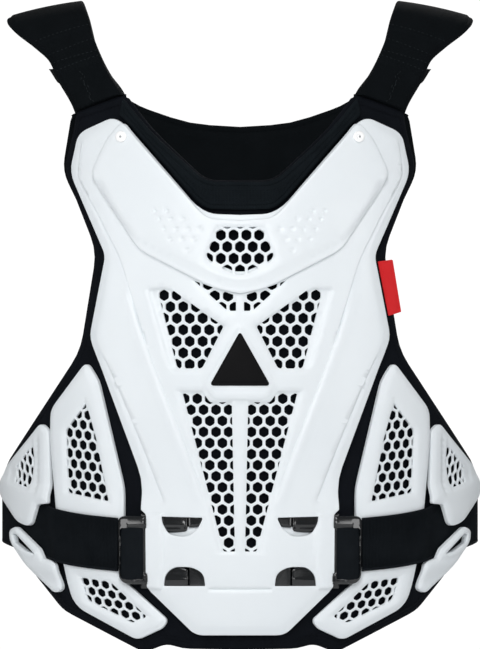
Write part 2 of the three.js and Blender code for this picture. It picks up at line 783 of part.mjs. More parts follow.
// The webbing dips to the liner under the wing plate and the strap guide, which are lifted there.
function webbingAt(angle) {
  const stations = WEBBING_STATIONS;
  const i = Math.max(1, stations.findIndex((entry) => entry.angle >= angle - 1e-9));
  const [a, b] = [stations[i - 1], stations[i]];
  const t = (angle - a.angle) / (b.angle - a.angle);
  return { angle, row: THREE.MathUtils.lerp(a.row, b.row, t), over: THREE.MathUtils.lerp(a.over, b.over, t) };
}
function overWebbing(p) {
  const angle = THREE.MathUtils.radToDeg(Math.abs(p.x) / SECTION_RADIUS);
  const away = Math.abs(p.y - height(webbingAt(angle).row)) - WEBBING_WIDTH / 2;
  const full = WEBBING_THICKNESS + WEBBING_SLACK;
  return ON_LINER + full * eased(1 - (away - WEBBING_LIFT_MARGIN) / WEBBING_LIFT_SPREAD);
}

function waistWebbing(sign) {
  const half = WEBBING_WIDTH / 2;
  const last = WEBBING_STATIONS[WEBBING_STATIONS.length - 1];
  const first = WEBBING_STATIONS[0];
  const steps = Math.ceil((last.angle - first.angle) / WEBBING_STEP_DEGREES);
  const rings = Array.from({ length: steps + 1 }, (_, i) => {
    const { angle, row, over } = webbingAt(THREE.MathUtils.lerp(first.angle, last.angle, i / steps));
    const lift = THREE.MathUtils.lerp(ON_LINER, WEBBING_OVER, over);
    const at = (z, extra) => torso(sign * THREE.MathUtils.degToRad(angle), height(row) + z, lift + extra);
    return [at(-half, 0), at(half, 0), at(half, WEBBING_THICKNESS), at(-half, WEBBING_THICKNESS)];
  });
  return lofted(rings);
}

// A buckle: its body stands over the side plate's edge and its two prongs run under the shell.
function sideReleaseBuckle(of) {
  const over = PLATE_TOP + CLEARANCE;
  const top = over + BUCKLE_THICKNESS;
  const loop = unrolledLoop(of(BUCKLE), top, FINE_STEP);
  const column = (p) => CENTRE_COLUMN - radiusOf(p, top) / COLUMN;
  const { high, low, prong } = BUCKLE_RAMP;
  return wrappedPlate({
    surface: FRONT,
    loop,
    grid: BUCKLE_GRID,
    low: (p) => THREE.MathUtils.lerp(over, ON_LINER, eased((column(p) - high) / (low - high))),
    high: (p) => (column(p) < prong ? top : ON_LINER + PRONG_THICKNESS),
  });
}

function badgePlate() {
  const loop = unrolledLoop(bothHalves(BADGE_HALF), SHELL_TOP, FINE_STEP * 2);
  return wrappedPlate({
    surface: FRONT,
    loop,
    grid: PLATE_GRID,
    low: () => SHELL_TOP + CLEARANCE,
    high: () => SHELL_TOP + CLEARANCE + BADGE_THICKNESS,
  });
}

function rivet(sign) {
  const x = Math.abs(across(RIVET_PLACE[0])) * sign;
  const centre = new THREE.Vector2(angleOf(x, SHELL_TOP) * SECTION_RADIUS, height(RIVET_PLACE[1]));
  const ring = (radius) =>
    Array.from({ length: RIVET_POINTS }, (_, k) => {
      const angle = (2 * k * Math.PI) / RIVET_POINTS;
      return centre.clone().add(new THREE.Vector2(radius * Math.cos(angle), radius * Math.sin(angle)));
    });
  const seat = overlayTopAt(centre) + CLEARANCE;
  return wrappedPlate({
    surface: FRONT,
    loop: ring(RIVET_RADIUS),
    bends: [...ring(RIVET_RADIUS * 0.6), centre],
    grid: PLATE_GRID,
    low: () => seat,
    high: (p) => {
      const share = p.distanceTo(centre) / RIVET_RADIUS;
      return seat + RIVET_HEIGHT * Math.sqrt(Math.max(RIVET_RIM ** 2, 1 - share * share));
    },
  });
}

// The back: a padded liner that shows inside the neck, and a plain shell on it.
function backLiner() {
  const loop = unrolledLoop(bothHalves(BACK_LINER_HALF), BACK_LINER_THICKNESS, BACK_LINER_GRID * LOOP_SHARE);
  return wrappedPlate({
    surface: BACK,
    loop,
    bends: insetLoop(loop, BACK_LINER_THICKNESS),
    grid: BACK_LINER_GRID,
    low: () => 0,
    high: paddedLift(loop, 0, BACK_LINER_THICKNESS, BACK_LINER_THICKNESS),
  });
}

function backShell() {
  const loop = unrolledLoop(bothHalves(BACK_SHELL_HALF), BACK_LINER_THICKNESS, BACK_SHELL_GRID * LOOP_SHARE);
  const base = BACK_LINER_THICKNESS + WIDE_CLEARANCE;
  return wrappedPlate({
    surface: BACK,
    loop,
    bends: insetLoop(loop, SHELL_SHOULDER),
    grid: BACK_SHELL_GRID,
    low: () => base,
    high: () => base + BACK_SHELL_THICKNESS,
  });
}

// The two long edges of a shoulder pad as curves from the back liner over the crest to the front.
function padEdge(sign, edge) {
  const which = edge === "outer" ? 0 : 1;
  const at = ({ [edge]: [column, row], front, back }, toFront) =>
    new THREE.Vector3(
      sign * Math.abs(across(column)),
      toFront ? -FRONT_DEPTH * front[which] : BACK_DEPTH * back[which],
      height(row),
    );
  const backHalf = PAD_STATIONS.slice(1).reverse().map((station) => at(station, false));
  return new THREE.CatmullRomCurve3([...backHalf, ...PAD_STATIONS.map((station) => at(station, true))]);
}

// Rings of a strip under or in the pad: from and to along its run, shares across its width,
// and the depths of its two faces under the pad's top.
function padRings(sign, { from, to, steps, outset, inset, top, bottom, round }) {
  const [outer, inner] = [padEdge(sign, "outer"), padEdge(sign, "inner")];
  const rings = [];
  for (let i = 0; i <= steps; i++) {
    const t = THREE.MathUtils.lerp(from, to, i / steps);
    const [o, n] = [outer.getPoint(t), inner.getPoint(t)];
    const width = n.clone().sub(o);
    const along = outer.getTangent(t).add(inner.getTangent(t)).normalize();
    const up = width.clone().cross(along).normalize();
    if (up.z < 0 || (Math.abs(up.z) < 0.05 && up.y * o.y < 0)) up.negate();
    const a = o.clone().addScaledVector(width, -outset);
    const b = n.clone().addScaledVector(width, -inset);
    const edge = round * (bottom - top);
    const across = b.clone().sub(a).normalize();
    const point = (p, inwards, depth) =>
      p.clone().addScaledVector(across, inwards).addScaledVector(up, -depth);
    const corners = round
      ? [
          point(a, edge, top),
          point(b, -edge, top),
          point(b, 0, top + edge),
          point(b, 0, bottom - edge),
          point(b, -edge, bottom),
          point(a, PAD_UNDERCUT, bottom),
          point(a, PAD_UNDERCUT / 2, (top + bottom + edge) / 2),
          point(a, 0, top + edge),
        ]
      : [point(b, 0, top), point(a, 0, top), point(a, 0, bottom), point(b, 0, bottom)];
    rings.push(corners);
  }
  return rings;
}

function shoulderPad(sign) {
  const span = { from: 0, to: 1, steps: PAD_STEPS, outset: 0, inset: 0 };
  return lofted(padRings(sign, { ...span, top: 0, bottom: PAD_THICKNESS, round: PAD_CREST_CORNER }));
}

function shoulderStrap(sign) {
  const top = PAD_THICKNESS + WIDE_CLEARANCE;
  const span = { from: 0, to: 1, steps: PAD_STEPS, outset: -STRAP_MARGIN, inset: STRAP_INSET };
  return lofted(padRings(sign, { ...span, top, bottom: top + STRAP_THICKNESS, round: 0 }));
}

function shoulderSlider(sign) {
  const top = PAD_THICKNESS + STRAP_THICKNESS + WIDE_CLEARANCE + CLEARANCE;
  const span = { from: 1 - SLIDER_SPAN.to, to: 1 - SLIDER_SPAN.from, steps: 2 };
  const sides = { outset: SLIDER_OUTSET, inset: STRAP_INSET };
  return lofted(padRings(sign, { ...span, ...sides, top, bottom: top + SLIDER_THICKNESS, round: 0 }));
}

function sideLabel() {
  const loop = unrolledLoop(SIDE_LABEL, ON_LINER, FINE_STEP);
  return wrappedPlate({
    surface: FRONT,
    loop,
    grid: PLATE_GRID,
    low: () => ON_LINER,
    high: () => ON_LINER + LABEL_THICKNESS,
  });
}

addPiece("front_liner", frontLiner(), blackFabric);
addPiece("neck_collar", collarBand(), blackFabric);
addPiece("chest_shell", chestShell(), whitePlastic);
addPiece("chest_overlay", chestOverlay(), whitePlastic);
addPiece("badge_plate", badgePlate(), blackPlastic);
addPiece("back_liner", backLiner(), blackFabric);
addPiece("back_shell", backShell(), whitePlastic);
addPiece("side_label", sideLabel(), redFabric);
for (const { side, of, sign } of SIDES) {
  const onLiner = () => ON_LINER;
  const guide = raisedPlate(of(STRAP_GUIDE), overWebbing, PLATE_THICKNESS, [of(GUIDE_SLOT)]);
  addPiece(`rivet_${side}`, rivet(sign), whitePlastic);
  addPiece(`side_plate_${side}`, raisedPlate(of(SIDE_PLATE), onLiner, PLATE_THICKNESS), whitePlastic);
  addPiece(`wing_plate_${side}`, raisedPlate(of(WING_PLATE), overWebbing, PLATE_THICKNESS), whitePlastic);
  addPiece(`strap_guide_${side}`, guide, whitePlastic);
  addPiece(`hip_plate_${side}`, raisedPlate(of(HIP_PLATE), onLiner, PLATE_THICKNESS), whitePlastic);
  addPiece(`waist_webbing_${side}`, waistWebbing(sign), blackWebbing);
  addPiece(`buckle_${side}`, sideReleaseBuckle(of), blackPlastic);
  addPiece(`shoulder_pad_${side}`, shoulderPad(sign), blackFabric);
  addPiece(`shoulder_strap_${side}`, shoulderStrap(sign), blackWebbing);
  addPiece(`shoulder_slider_${side}`, shoulderSlider(sign), blackPlastic);
}

export default assembly;
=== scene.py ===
"""Looks of a worn roost deflector, the chest and back protector of an off-road rider.

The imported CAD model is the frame. Metres, +Z up, and the front of the chest faces -Y.
"""
import logging
import math
from collections.abc import Callable, Iterable, Sequence
from dataclasses import dataclass
from enum import Enum

import bpy
import numpy as np
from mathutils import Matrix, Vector
from mathutils.geometry import delaunay_2d_cdt


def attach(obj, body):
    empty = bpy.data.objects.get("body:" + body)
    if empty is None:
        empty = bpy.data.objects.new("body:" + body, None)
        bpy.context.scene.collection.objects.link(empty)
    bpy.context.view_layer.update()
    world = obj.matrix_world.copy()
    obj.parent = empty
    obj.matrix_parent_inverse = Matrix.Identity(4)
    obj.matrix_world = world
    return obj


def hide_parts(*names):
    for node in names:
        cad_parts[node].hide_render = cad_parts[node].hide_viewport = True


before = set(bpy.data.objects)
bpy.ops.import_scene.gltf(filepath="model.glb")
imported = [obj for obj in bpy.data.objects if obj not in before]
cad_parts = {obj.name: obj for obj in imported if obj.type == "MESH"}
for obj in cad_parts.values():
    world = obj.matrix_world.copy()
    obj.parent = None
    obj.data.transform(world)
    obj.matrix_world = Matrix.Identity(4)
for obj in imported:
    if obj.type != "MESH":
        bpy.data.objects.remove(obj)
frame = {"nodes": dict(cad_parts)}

log = logging.getLogger("roost_deflector")

MM = 0.001

Points = np.ndarray
Corner = tuple[float, float, float]
Spot = tuple[float, float]

# Driving sizes, as in the CAD model.
OVERALL_WIDTH = 361 * MM
OVERALL_HEIGHT = 488.5 * MM
LINER_THICKNESS = 6 * MM
BACK_LINER_THICKNESS = 7 * MM
COLLAR_THICKNESS = 2.6 * MM
CLEARANCE = 0.5 * MM
SHELL_THICKNESS = 3 * MM
SHELL_RISE = 3 * MM
SHELL_SHOULDER = 8 * MM
SOCKET_RISE = 1 * MM
OVERLAY_THICKNESS = 2.5 * MM
OVERLAY_RISE = 1.2 * MM
PLATE_THICKNESS = 3 * MM
PLATE_RISE = 1.2 * MM
HEX_PITCH = 9.9 * MM
WINDOW_RECESS = 2 * MM
WINDOW_WALL = 1.7 * MM
WEBBING_WIDTH = 40 * MM
WEBBING_THICKNESS = 2 * MM
BUCKLE_THICKNESS = 4.6 * MM
PAD_THICKNESS = 10 * MM

# The front view is drawn on a sheet of columns and rows, its left half first.
CENTRE_COLUMN = 240
SEAT_ROW = 25
COLUMN = OVERALL_WIDTH / 478
ROW = OVERALL_HEIGHT / 647

# Lifts of the faces that lie on each other, off the body.
ON_LINER = LINER_THICKNESS + CLEARANCE
SHELL_TOP = ON_LINER + SHELL_THICKNESS + SHELL_RISE
PLATE_TOP = ON_LINER + PLATE_THICKNESS + PLATE_RISE
OVER_PLATE = PLATE_TOP + CLEARANCE
BUCKLE_TOP = OVER_PLATE + BUCKLE_THICKNESS


class Half(Enum):
    """The two halves of the torso that plates are wrapped round."""

    FRONT = "front"
    BACK = "back"


class Side(Enum):
    """The two sides of the front view; the value is the sign of X."""

    LEFT = -1
    RIGHT = 1

    def turned(self, spots: Sequence[tuple[float, ...]]) -> list[tuple[float, ...]]:
        """Spots that are drawn on the left half, on this side."""
        return list(spots) if self is Side.LEFT else mirrored(spots)

    @property
    def label(self) -> str:
        """The side's name in a node's name."""
        return self.name.lower()


def eased(share: Points) -> Points:
    """A smooth step of a share that is held from 0 to 1."""
    held = np.clip(share, 0, 1)
    return held * held * (3 - 2 * held)


@dataclass(frozen=True)
class Torso:
    """The worn torso: a round front and a flatter back, with a depth that changes down its rows."""

    radius: float = 171.5 * MM
    front_depth: float = 146 * MM
    back_depth: float = 102 * MM
    rows: tuple[float, ...] = (60, 98, 150, 216, 300, 390, 480, 560, 650)
    front: tuple[float, ...] = (0.66, 0.715, 0.79, 0.87, 0.94, 0.975, 0.985, 1, 0.965)
    back: tuple[float, ...] = (0.8, 0.85, 0.92, 0.98, 1, 0.96, 0.91, 0.9, 0.92)

    def profile(self, z: Points, shares: Sequence[float]) -> Points:
        """Depth shares at heights, on a smooth curve through the rows.

        Args:
            z: Heights in metres.
            shares: The front's or the back's row of shares.

        Returns:
            One share for each height.
        """
        rows, values = np.array(self.rows, float), np.array(shares, float)
        row = np.clip(SEAT_ROW - z / ROW, rows[0], rows[-1])
        i = np.clip(np.searchsorted(rows, row) - 1, 0, len(rows) - 2)
        before, after = np.maximum(i - 1, 0), np.minimum(i + 2, len(rows) - 1)
        span = rows[i + 1] - rows[i]
        t = (row - rows[i]) / span
        slope_in = (values[i + 1] - values[before]) / (rows[i + 1] - rows[before]) * span
        slope_out = (values[after] - values[i]) / (rows[after] - rows[i]) * span
        ends = (2 * t**3 - 3 * t**2 + 1) * values[i] + (3 * t**2 - 2 * t**3) * values[i + 1]
        return ends + (t**3 - 2 * t**2 + t) * slope_in + (t**3 - t**2) * slope_out

    def place(self, flat: Points, lift: Points, half: Half = Half.FRONT) -> Points:
        """Points of the unrolled surface, put on the torso.

        Args:
            flat: Pairs of arc length and height.
            lift: Distance off the body for each pair.
            half: The half of the torso that the arc starts from.

        Returns:
            Points in the frame, one for each pair.
        """
        angle = flat[:, 0] / self.radius
        if half is Half.BACK:
            angle = np.pi - angle
        z = flat[:, 1]
        centre = self.radius - self.front_depth * self.profile(z, self.front)
        behind = self.back_depth * self.profile(z, self.back) - centre
        depth = np.where(np.cos(angle) >= 0, self.radius, behind)
        x = (self.radius + lift) * np.sin(angle)
        return np.column_stack([x, centre - (depth + lift) * np.cos(angle), z])

    def unroll(self, spots: Iterable[Spot], lift: float) -> Points:
        """Sheet columns and rows at a lift, as pairs of arc length and height."""
        sheet = np.array([(spot[0], spot[1]) for spot in spots], float)
        x = (sheet[:, 0] - CENTRE_COLUMN) * COLUMN / (self.radius + lift)
        arc = np.arcsin(np.clip(x, -0.999, 0.999)) * self.radius
        return np.column_stack([arc, (SEAT_ROW - sheet[:, 1]) * ROW])


TORSO = Torso()
ARC_STEP = math.radians(9)


def mirrored(spots: Sequence[tuple[float, ...]]) -> list[tuple[float, ...]]:
    """The same spots or corners on the other side of the sheet."""
    return [(2 * CENTRE_COLUMN - spot[0], *spot[1:]) for spot in spots]


def both_halves(half: Sequence[Corner]) -> list[Corner]:
    """A whole outline from the corners of its left half."""
    off_centre = [corner for corner in half if corner[0] != CENTRE_COLUMN]
    return [*half, *mirrored(off_centre)[::-1]]


def resampled(path: Points, step: float, closed: bool = True) -> Points:
    """A path with each of its edges cut into equal pieces of about a step."""
    ends = np.roll(path, -1, axis=0) if closed else path[1:]
    pieces = []
    for start, end in zip(path, ends):
        count = max(1, math.ceil(np.linalg.norm(end - start) / step))
        pieces.append(start + (end - start) * (np.arange(count) / count)[:, None])
    found = np.vstack(pieces if closed else [*pieces, path[-1:]])
    gaps = np.linalg.norm(found - np.roll(found, 1, axis=0), axis=1)
    return found[gaps > 0.02 * MM]


def outline(corners: Sequence[Corner], lift: float, step: float = 2.6 * MM) -> Points:
    """A closed loop with rounded corners in the unrolled surface.

    Args:
        corners: Column, row and rounding of each corner, the rounding in columns.
        lift: The lift at which the columns are meant.
        step: Longest edge of the loop.

    Returns:
        The loop's points as pairs of arc length and height.
    """
    spots = np.array([(column * COLUMN, row * ROW) for column, row, _ in corners])
    drawn: list[Points] = []
    for i, (_, _, rounding) in enumerate(corners):
        at, before, after = spots[i], spots[i - 1], spots[(i + 1) % len(spots)]
        into, out = before - at, after - at
        lengths = np.linalg.norm(into), np.linalg.norm(out)
        trim = min(rounding * COLUMN, 0.48 * lengths[0], 0.48 * lengths[1])
        if trim < 0.2 * MM:
            drawn.append(at[None])
            continue
        turn = math.pi - math.acos(np.clip(into @ out / (lengths[0] * lengths[1]), -1, 1))
        t = np.linspace(0, 1, max(2, round(turn / ARC_STEP)) + 1)[:, None]
        start, end = at + into * trim / lengths[0], at + out * trim / lengths[1]
        drawn.append((1 - t) ** 2 * start + 2 * t * (1 - t) * at + t**2 * end)
    sheet = resampled(np.vstack(drawn), step)
    return TORSO.unroll(zip(sheet[:, 0] / COLUMN, sheet[:, 1] / ROW), lift)


def curve_through(spots: Sequence[Spot], lift: float, step: float = 2 * MM) -> Points:
    """An open line through sheet spots, with its corners softened, in the unrolled surface."""
    line = TORSO.unroll(spots, lift)
    for _ in range(3):
        soft = [line[:1]]
        for start, end in zip(line, line[1:]):
            soft.append(np.array([0.75 * start + 0.25 * end, 0.25 * start + 0.75 * end]))
        line = np.vstack([*soft, line[-1:]])
    return resampled(line, step, closed=False)


def inside(points: Points, loop: Points) -> Points:
    """Whether each point lies in a closed loop."""
    found = np.zeros(len(points), bool)
    for a, b in zip(loop, np.roll(loop, -1, axis=0)):
        if a[1] == b[1]:
            continue
        crosses = (a[1] > points[:, 1]) != (b[1] > points[:, 1])
        found ^= crosses & (points[:, 0] < (b[0] - a[0]) * (points[:, 1] - a[1]) / (b[1] - a[1]) + a[0])
    return found


@dataclass(frozen=True)
class Nearest:
    """How points lie to a path: their distance, their side of it and their share along it."""

    distance: Points
    side: Points
    share: Points


def nearest(points: Points, path: Points, closed: bool) -> Nearest:
    """Measures points against a path.

    Args:
        points: Pairs in the unrolled surface.
        path: The path's points.
        closed: Whether the path returns to its start.

    Returns:
        Distances, signs (positive on the left of the path's run) and shares along the path.
    """
    starts = path if closed else path[:-1]
    edges = (np.roll(path, -1, axis=0) if closed else path[1:]) - starts
    squares = (edges**2).sum(1)
    run = np.concatenate([[0], np.cumsum(np.sqrt(squares))])
    least, side, share = (np.full(len(points), value, float) for value in (np.inf, 1, 0))
    for start, edge, square, from_run, to_run in zip(starts, edges, squares, run, run[1:]):
        to_point = points - start
        t = np.clip(to_point @ edge / square, 0, 1)
        away = to_point - t[:, None] * edge
        distance = np.hypot(away[:, 0], away[:, 1])
        closer = distance < least
        least = np.where(closer, distance, least)
        turn = edge[0] * to_point[:, 1] - edge[1] * to_point[:, 0]
        side = np.where(closer, np.sign(turn), side)
        share = np.where(closer, (from_run + t * (to_run - from_run)) / run[-1], share)
    return Nearest(least, side, share)


def offset_loop(loop: Points, distance: float) -> Points:
    """A closed loop moved outwards by a distance, or inwards by a negative one."""
    before, after = loop - np.roll(loop, 1, axis=0), np.roll(loop, -1, axis=0) - loop
    normals = []
    for edge in (before, after):
        length = np.linalg.norm(edge, axis=1, keepdims=True)
        normals.append(np.column_stack([edge[:, 1], -edge[:, 0]]) / length)
    shoelace = loop[:, 0] * np.roll(loop[:, 1], -1) - np.roll(loop[:, 0], -1) * loop[:, 1]
    outwards = math.copysign(1, shoelace.sum())
    bisector = normals[0] + normals[1]
    square = np.maximum((bisector**2).sum(1, keepdims=True), 0.6)
    return loop + outwards * distance * 2 * bisector / square


def clean_inset(loop: Points, distance: float) -> Points:
    """A loop moved inwards, without points that come too near another stretch of it."""
    moved = offset_loop(loop, -distance)
    clear = inside(moved, loop) & (nearest(moved, loop, True).distance > 0.93 * distance)
    return moved[clear]


def area_of(loop: Points) -> float:
    """The area that a loop encloses."""
    shoelace = loop[:, 0] * np.roll(loop[:, 1], -1) - np.roll(loop[:, 0], -1) * loop[:, 1]
    return abs(shoelace.sum()) / 2


def clipped(subject: Points, convex: Points) -> Points:
    """The part of a loop that lies in a convex loop of counter-clockwise points."""
    for a, b in zip(convex, np.roll(convex, -1, axis=0)):
        if len(subject) < 3:
            return np.empty((0, 2))
        edge = b - a
        depth = edge[0] * (subject[:, 1] - a[1]) - edge[1] * (subject[:, 0] - a[0])
        kept = []
        for point, other, d, e in zip(subject, np.roll(subject, -1, axis=0), depth, np.roll(depth, -1)):
            if d >= 0:
                kept.append(point)
            if (d >= 0) != (e >= 0):
                kept.append(point + (other - point) * d / (d - e))
        subject = np.array(kept).reshape(-1, 2)
    return subject


def without_short_edges(loop: Points, least: float) -> Points:
    """A loop with the points dropped that lie nearly on the one before them."""
    kept: list[Points] = []
    for point in loop:
        if not kept or np.linalg.norm(point - kept[-1]) > least:
            kept.append(point)
    while len(kept) > 3 and np.linalg.norm(kept[0] - kept[-1]) <= least:
        kept.pop()
    return np.array(kept).reshape(-1, 2)


@dataclass(frozen=True)
class Guide:
    """Points that the mesh of a plate keeps, and whether they are joined by edges."""

    points: Points
    joined: bool = False
    closed: bool = False


class Relief:
    """A form that stands on or is sunk in a plate's face."""

    def height(self, flat: Points) -> Points:
        """The form's height over the face at points of the unrolled surface."""
        raise NotImplementedError

    def guides(self) -> list[Guide]:
        """What the plate's mesh keeps so that the form comes out crisp."""
        return []


@dataclass(frozen=True)
class Shoulder(Relief):
    """A rim that is turned down along a plate's outline."""

    loop: Points
    width: float
    drop: float

    def height(self, flat: Points) -> Points:
        """Falls from the field to the outline."""
        return -self.drop * (1 - eased(nearest(flat, self.loop, True).distance / self.width))

    def guides(self) -> list[Guide]:
        """Rows of points along the rim."""
        return [Guide(clean_inset(self.loop, share * self.width)) for share in (0.33, 0.66, 1)]


@dataclass(frozen=True)
class Fold(Relief):
    """A fold line: the face steps down on one side of it and comes up again softly."""

    path: Points
    depth: float
    fade: float
    side: int = 1
    width: float = 0.7 * MM
    taper: float = 0.1
    crease: float = 0.4 * MM

    def height(self, flat: Points) -> Points:
        """A step at the line that fades away from it and towards its ends."""
        near = nearest(flat, self.path, False)
        beyond = near.distance * near.side * self.side
        step = eased((beyond + self.width / 2) / self.width)
        ends = eased(near.share / self.taper) * eased((1 - near.share) / self.taper)
        crease = self.crease * np.exp(-((beyond / (0.8 * self.width)) ** 2))
        return -(self.depth * step * np.exp(-np.maximum(beyond, 0) / self.fade) + crease) * ends

    def guides(self) -> list[Guide]:
        """Both edges of the step, and a row of points where it fades."""
        run = np.gradient(self.path, axis=0)
        normal = np.column_stack([-run[:, 1], run[:, 0]]) / np.linalg.norm(run, axis=1, keepdims=True)
        half = self.width / 2
        edges = [Guide(self.path + shift * normal, joined=True) for shift in (-half, half)]
        return [*edges, Guide(self.path + normal * self.side * max(3 * half, self.fade / 2))]


@dataclass(frozen=True)
class Groove(Relief):
    """A soft groove along a line, or a soft ridge if its depth is negative."""

    path: Points
    depth: float
    width: float
    closed: bool = False
    taper: float = 0.06

    def height(self, flat: Points) -> Points:
        """A rounded trough that fades towards the ends of an open line."""
        near = nearest(flat, self.path, self.closed)
        ends = 1.0
        if not self.closed:
            ends = eased(near.share / self.taper) * eased((1 - near.share) / self.taper)
        return -self.depth * np.exp(-((near.distance / self.width) ** 2)) * ends

    def guides(self) -> list[Guide]:
        """The line itself and a row of points on each side."""
        run = np.gradient(self.path, axis=0)
        normal = np.column_stack([-run[:, 1], run[:, 0]]) / np.linalg.norm(run, axis=1, keepdims=True)
        sides = [Guide(self.path + shift * self.width * normal) for shift in (-1, 1)]
        return [Guide(self.path, joined=True, closed=self.closed), *sides]


@dataclass(frozen=True)
class Sunk(Relief):
    """A sunk window with sloped sides, or a raised pad if its depth is negative."""

    loop: Points
    depth: float
    slope: float

    def height(self, flat: Points) -> Points:
        """Level inside the slope and zero outside the loop."""
        within = inside(flat, self.loop)
        return -self.depth * within * eased(nearest(flat, self.loop, True).distance / self.slope)

    def guides(self) -> list[Guide]:
        """The loop's edge and the foot of its slope."""
        foot = clean_inset(self.loop, self.slope)
        middle = clean_inset(self.loop, self.slope / 2)
        return [Guide(self.loop, joined=True, closed=True), Guide(middle), Guide(foot)]


@dataclass(frozen=True)
class Dimples(Relief):
    """Shallow round dents that grow from the first to the last."""

    centres: Points
    radii: Points
    depth: float

    def height(self, flat: Points) -> Points:
        """The dents' depths added up."""
        total = np.zeros(len(flat))
        for centre, radius in zip(self.centres, self.radii):
            total -= self.depth * eased(1.4 - np.linalg.norm(flat - centre, axis=1) / radius)
        return total

    def guides(self) -> list[Guide]:
        """The middle and two rings of each dent."""
        turn = np.linspace(0, 2 * np.pi, 9)[:-1]
        ring = np.column_stack([np.cos(turn), np.sin(turn)])
        rings = [centre + size * radius * ring for centre, radius in zip(self.centres, self.radii)
                 for size in (0.4, 1, 1.4)]
        return [Guide(self.centres), *map(Guide, rings)]


def near_box(points: Points, loop: Points, margin: float) -> Points:
    """Numbers of the points that lie within a margin of a loop's box."""
    low, high = loop.min(0) - margin, loop.max(0) + margin
    return np.flatnonzero(((points > low) & (points < high)).all(1))


def lattice_in(loop: Points, holes: list[Points], guides: list[Guide], grid: float) -> Points:
    """Points of an even lattice inside a loop, clear of its holes and guides."""
    low, high = loop.min(0), loop.max(0)
    row_step = grid * math.sin(math.pi / 3)
    rows = np.arange(math.floor(low[1] / row_step), math.ceil(high[1] / row_step) + 1)
    columns = np.arange(math.floor(low[0] / grid) - 1, math.ceil(high[0] / grid) + 2)
    mesh = np.array([((i + (j % 2) / 2) * grid, j * row_step) for j in rows for i in columns])
    mesh = mesh[inside(mesh, loop)]
    mesh = mesh[nearest(mesh, loop, True).distance > 0.5 * grid]
    clear = np.ones(len(mesh), bool)
    for hole in holes:
        found = near_box(mesh, hole, grid)
        close = nearest(mesh[found], hole, True).distance < 0.45 * grid
        clear[found[inside(mesh[found], hole) | close]] = False
    for guide in guides:
        if len(guide.points) > 1:
            found = near_box(mesh, guide.points, grid)
            gaps = np.linalg.norm(mesh[found][:, None] - guide.points[None], axis=2).min(1, initial=1)
            clear[found[gaps < 0.55 * grid]] = False
    return mesh[clear]


@dataclass(frozen=True)
class FlatMesh:
    """Triangles of a plate in the unrolled surface, and the edges round them."""

    points: Points
    triangles: np.ndarray
    rim: np.ndarray
    outwards: Points


def flat_mesh(loop: Points, holes: list[Points], guides: list[Guide], grid: float) -> FlatMesh:
    """Triangulates a plate's face.

    Args:
        loop: The outline.
        holes: Loops that are cut out.
        guides: Points and lines that the triangles keep.
        grid: Width of the even lattice between them.

    Returns:
        The triangles, counter-clockwise, with the rim's edges in their order of run.
    """
    coords, edges = [], []
    first = 0
    joined = [(loop, True), *((hole, True) for hole in holes)]
    joined += [(guide.points, guide.closed) for guide in guides if guide.joined]
    for path, closed in joined:
        count = len(path)
        coords.append(path)
        edges += [(first + k, first + (k + 1) % count) for k in range(count if closed else count - 1)]
        first += count
    loose = [guide.points for guide in guides if not guide.joined and len(guide.points)]
    coords += [points[inside(points, loop)] for points in loose]
    coords.append(lattice_in(loop, holes, guides, grid))
    spots = [Vector((float(x), float(y))) for x, y in np.vstack(coords)]
    found, _, faces, *_ = delaunay_2d_cdt(spots, edges, [], 0, 1e-6)
    points = np.array([(v.x, v.y) for v in found])
    triangles = np.array([face for face in faces if len(face) == 3])
    a, b, c = (points[triangles[:, k]] for k in range(3))
    turn = (b[:, 0] - a[:, 0]) * (c[:, 1] - a[:, 1]) - (b[:, 1] - a[:, 1]) * (c[:, 0] - a[:, 0])
    triangles[turn < 0] = triangles[turn < 0][:, ::-1]
    middles = (a + b + c) / 3
    kept = inside(middles, loop) & (np.abs(turn) > 1e-12)
    for hole in holes:
        close = near_box(middles, hole, 0)
        kept[close[inside(middles[close], hole)]] = False
    triangles = triangles[kept]
    directed = np.vstack([triangles[:, [0, 1]], triangles[:, [1, 2]], triangles[:, [2, 0]]])
    keys = directed[:, 0] * len(points) + directed[:, 1]
    rim = directed[~np.isin(keys, directed[:, 1] * len(points) + directed[:, 0])]
    run = points[rim[:, 1]] - points[rim[:, 0]]
    normal = np.column_stack([run[:, 1], -run[:, 0]]) / np.linalg.norm(run, axis=1, keepdims=True)
    outwards = np.zeros_like(points)
    np.add.at(outwards, rim[:, 0], normal)
    np.add.at(outwards, rim[:, 1], normal)
    square = np.maximum((outwards**2).sum(1, keepdims=True), 0.8)
    return FlatMesh(points, triangles, rim, 2 * outwards / square)


def mesh_object(name: str, vertices: Points, faces: list, flat: Points | None = None,
                sharp: float = 50) -> bpy.types.Object:
    """Makes a mesh object with smooth faces, sharp edges by angle and a map in metres.

    Args:
        name: The piece's name.
        vertices: Points in the frame.
        faces: Vertex numbers of each face.
        flat: The unrolled place of each vertex, for the map along the surface.
        sharp: Angle in degrees beyond which an edge is sharp.

    Returns:
        The object, at the origin.
    """
    mesh = bpy.data.meshes.new(name)
    mesh.from_pydata(vertices.tolist(), [], faces)
    if flat is not None:
        layer = mesh.uv_layers.new(name="unrolled")
        corners = np.empty(len(mesh.loops), np.int32)
        mesh.loops.foreach_get("vertex_index", corners)
        layer.uv.foreach_set("vector", flat[corners].astype(np.float32).ravel())
    mesh.shade_smooth()
    mesh.set_sharp_from_angle(angle=math.radians(sharp))
    piece = bpy.data.objects.new(name, mesh)
    bpy.context.scene.collection.objects.link(piece)
    return piece


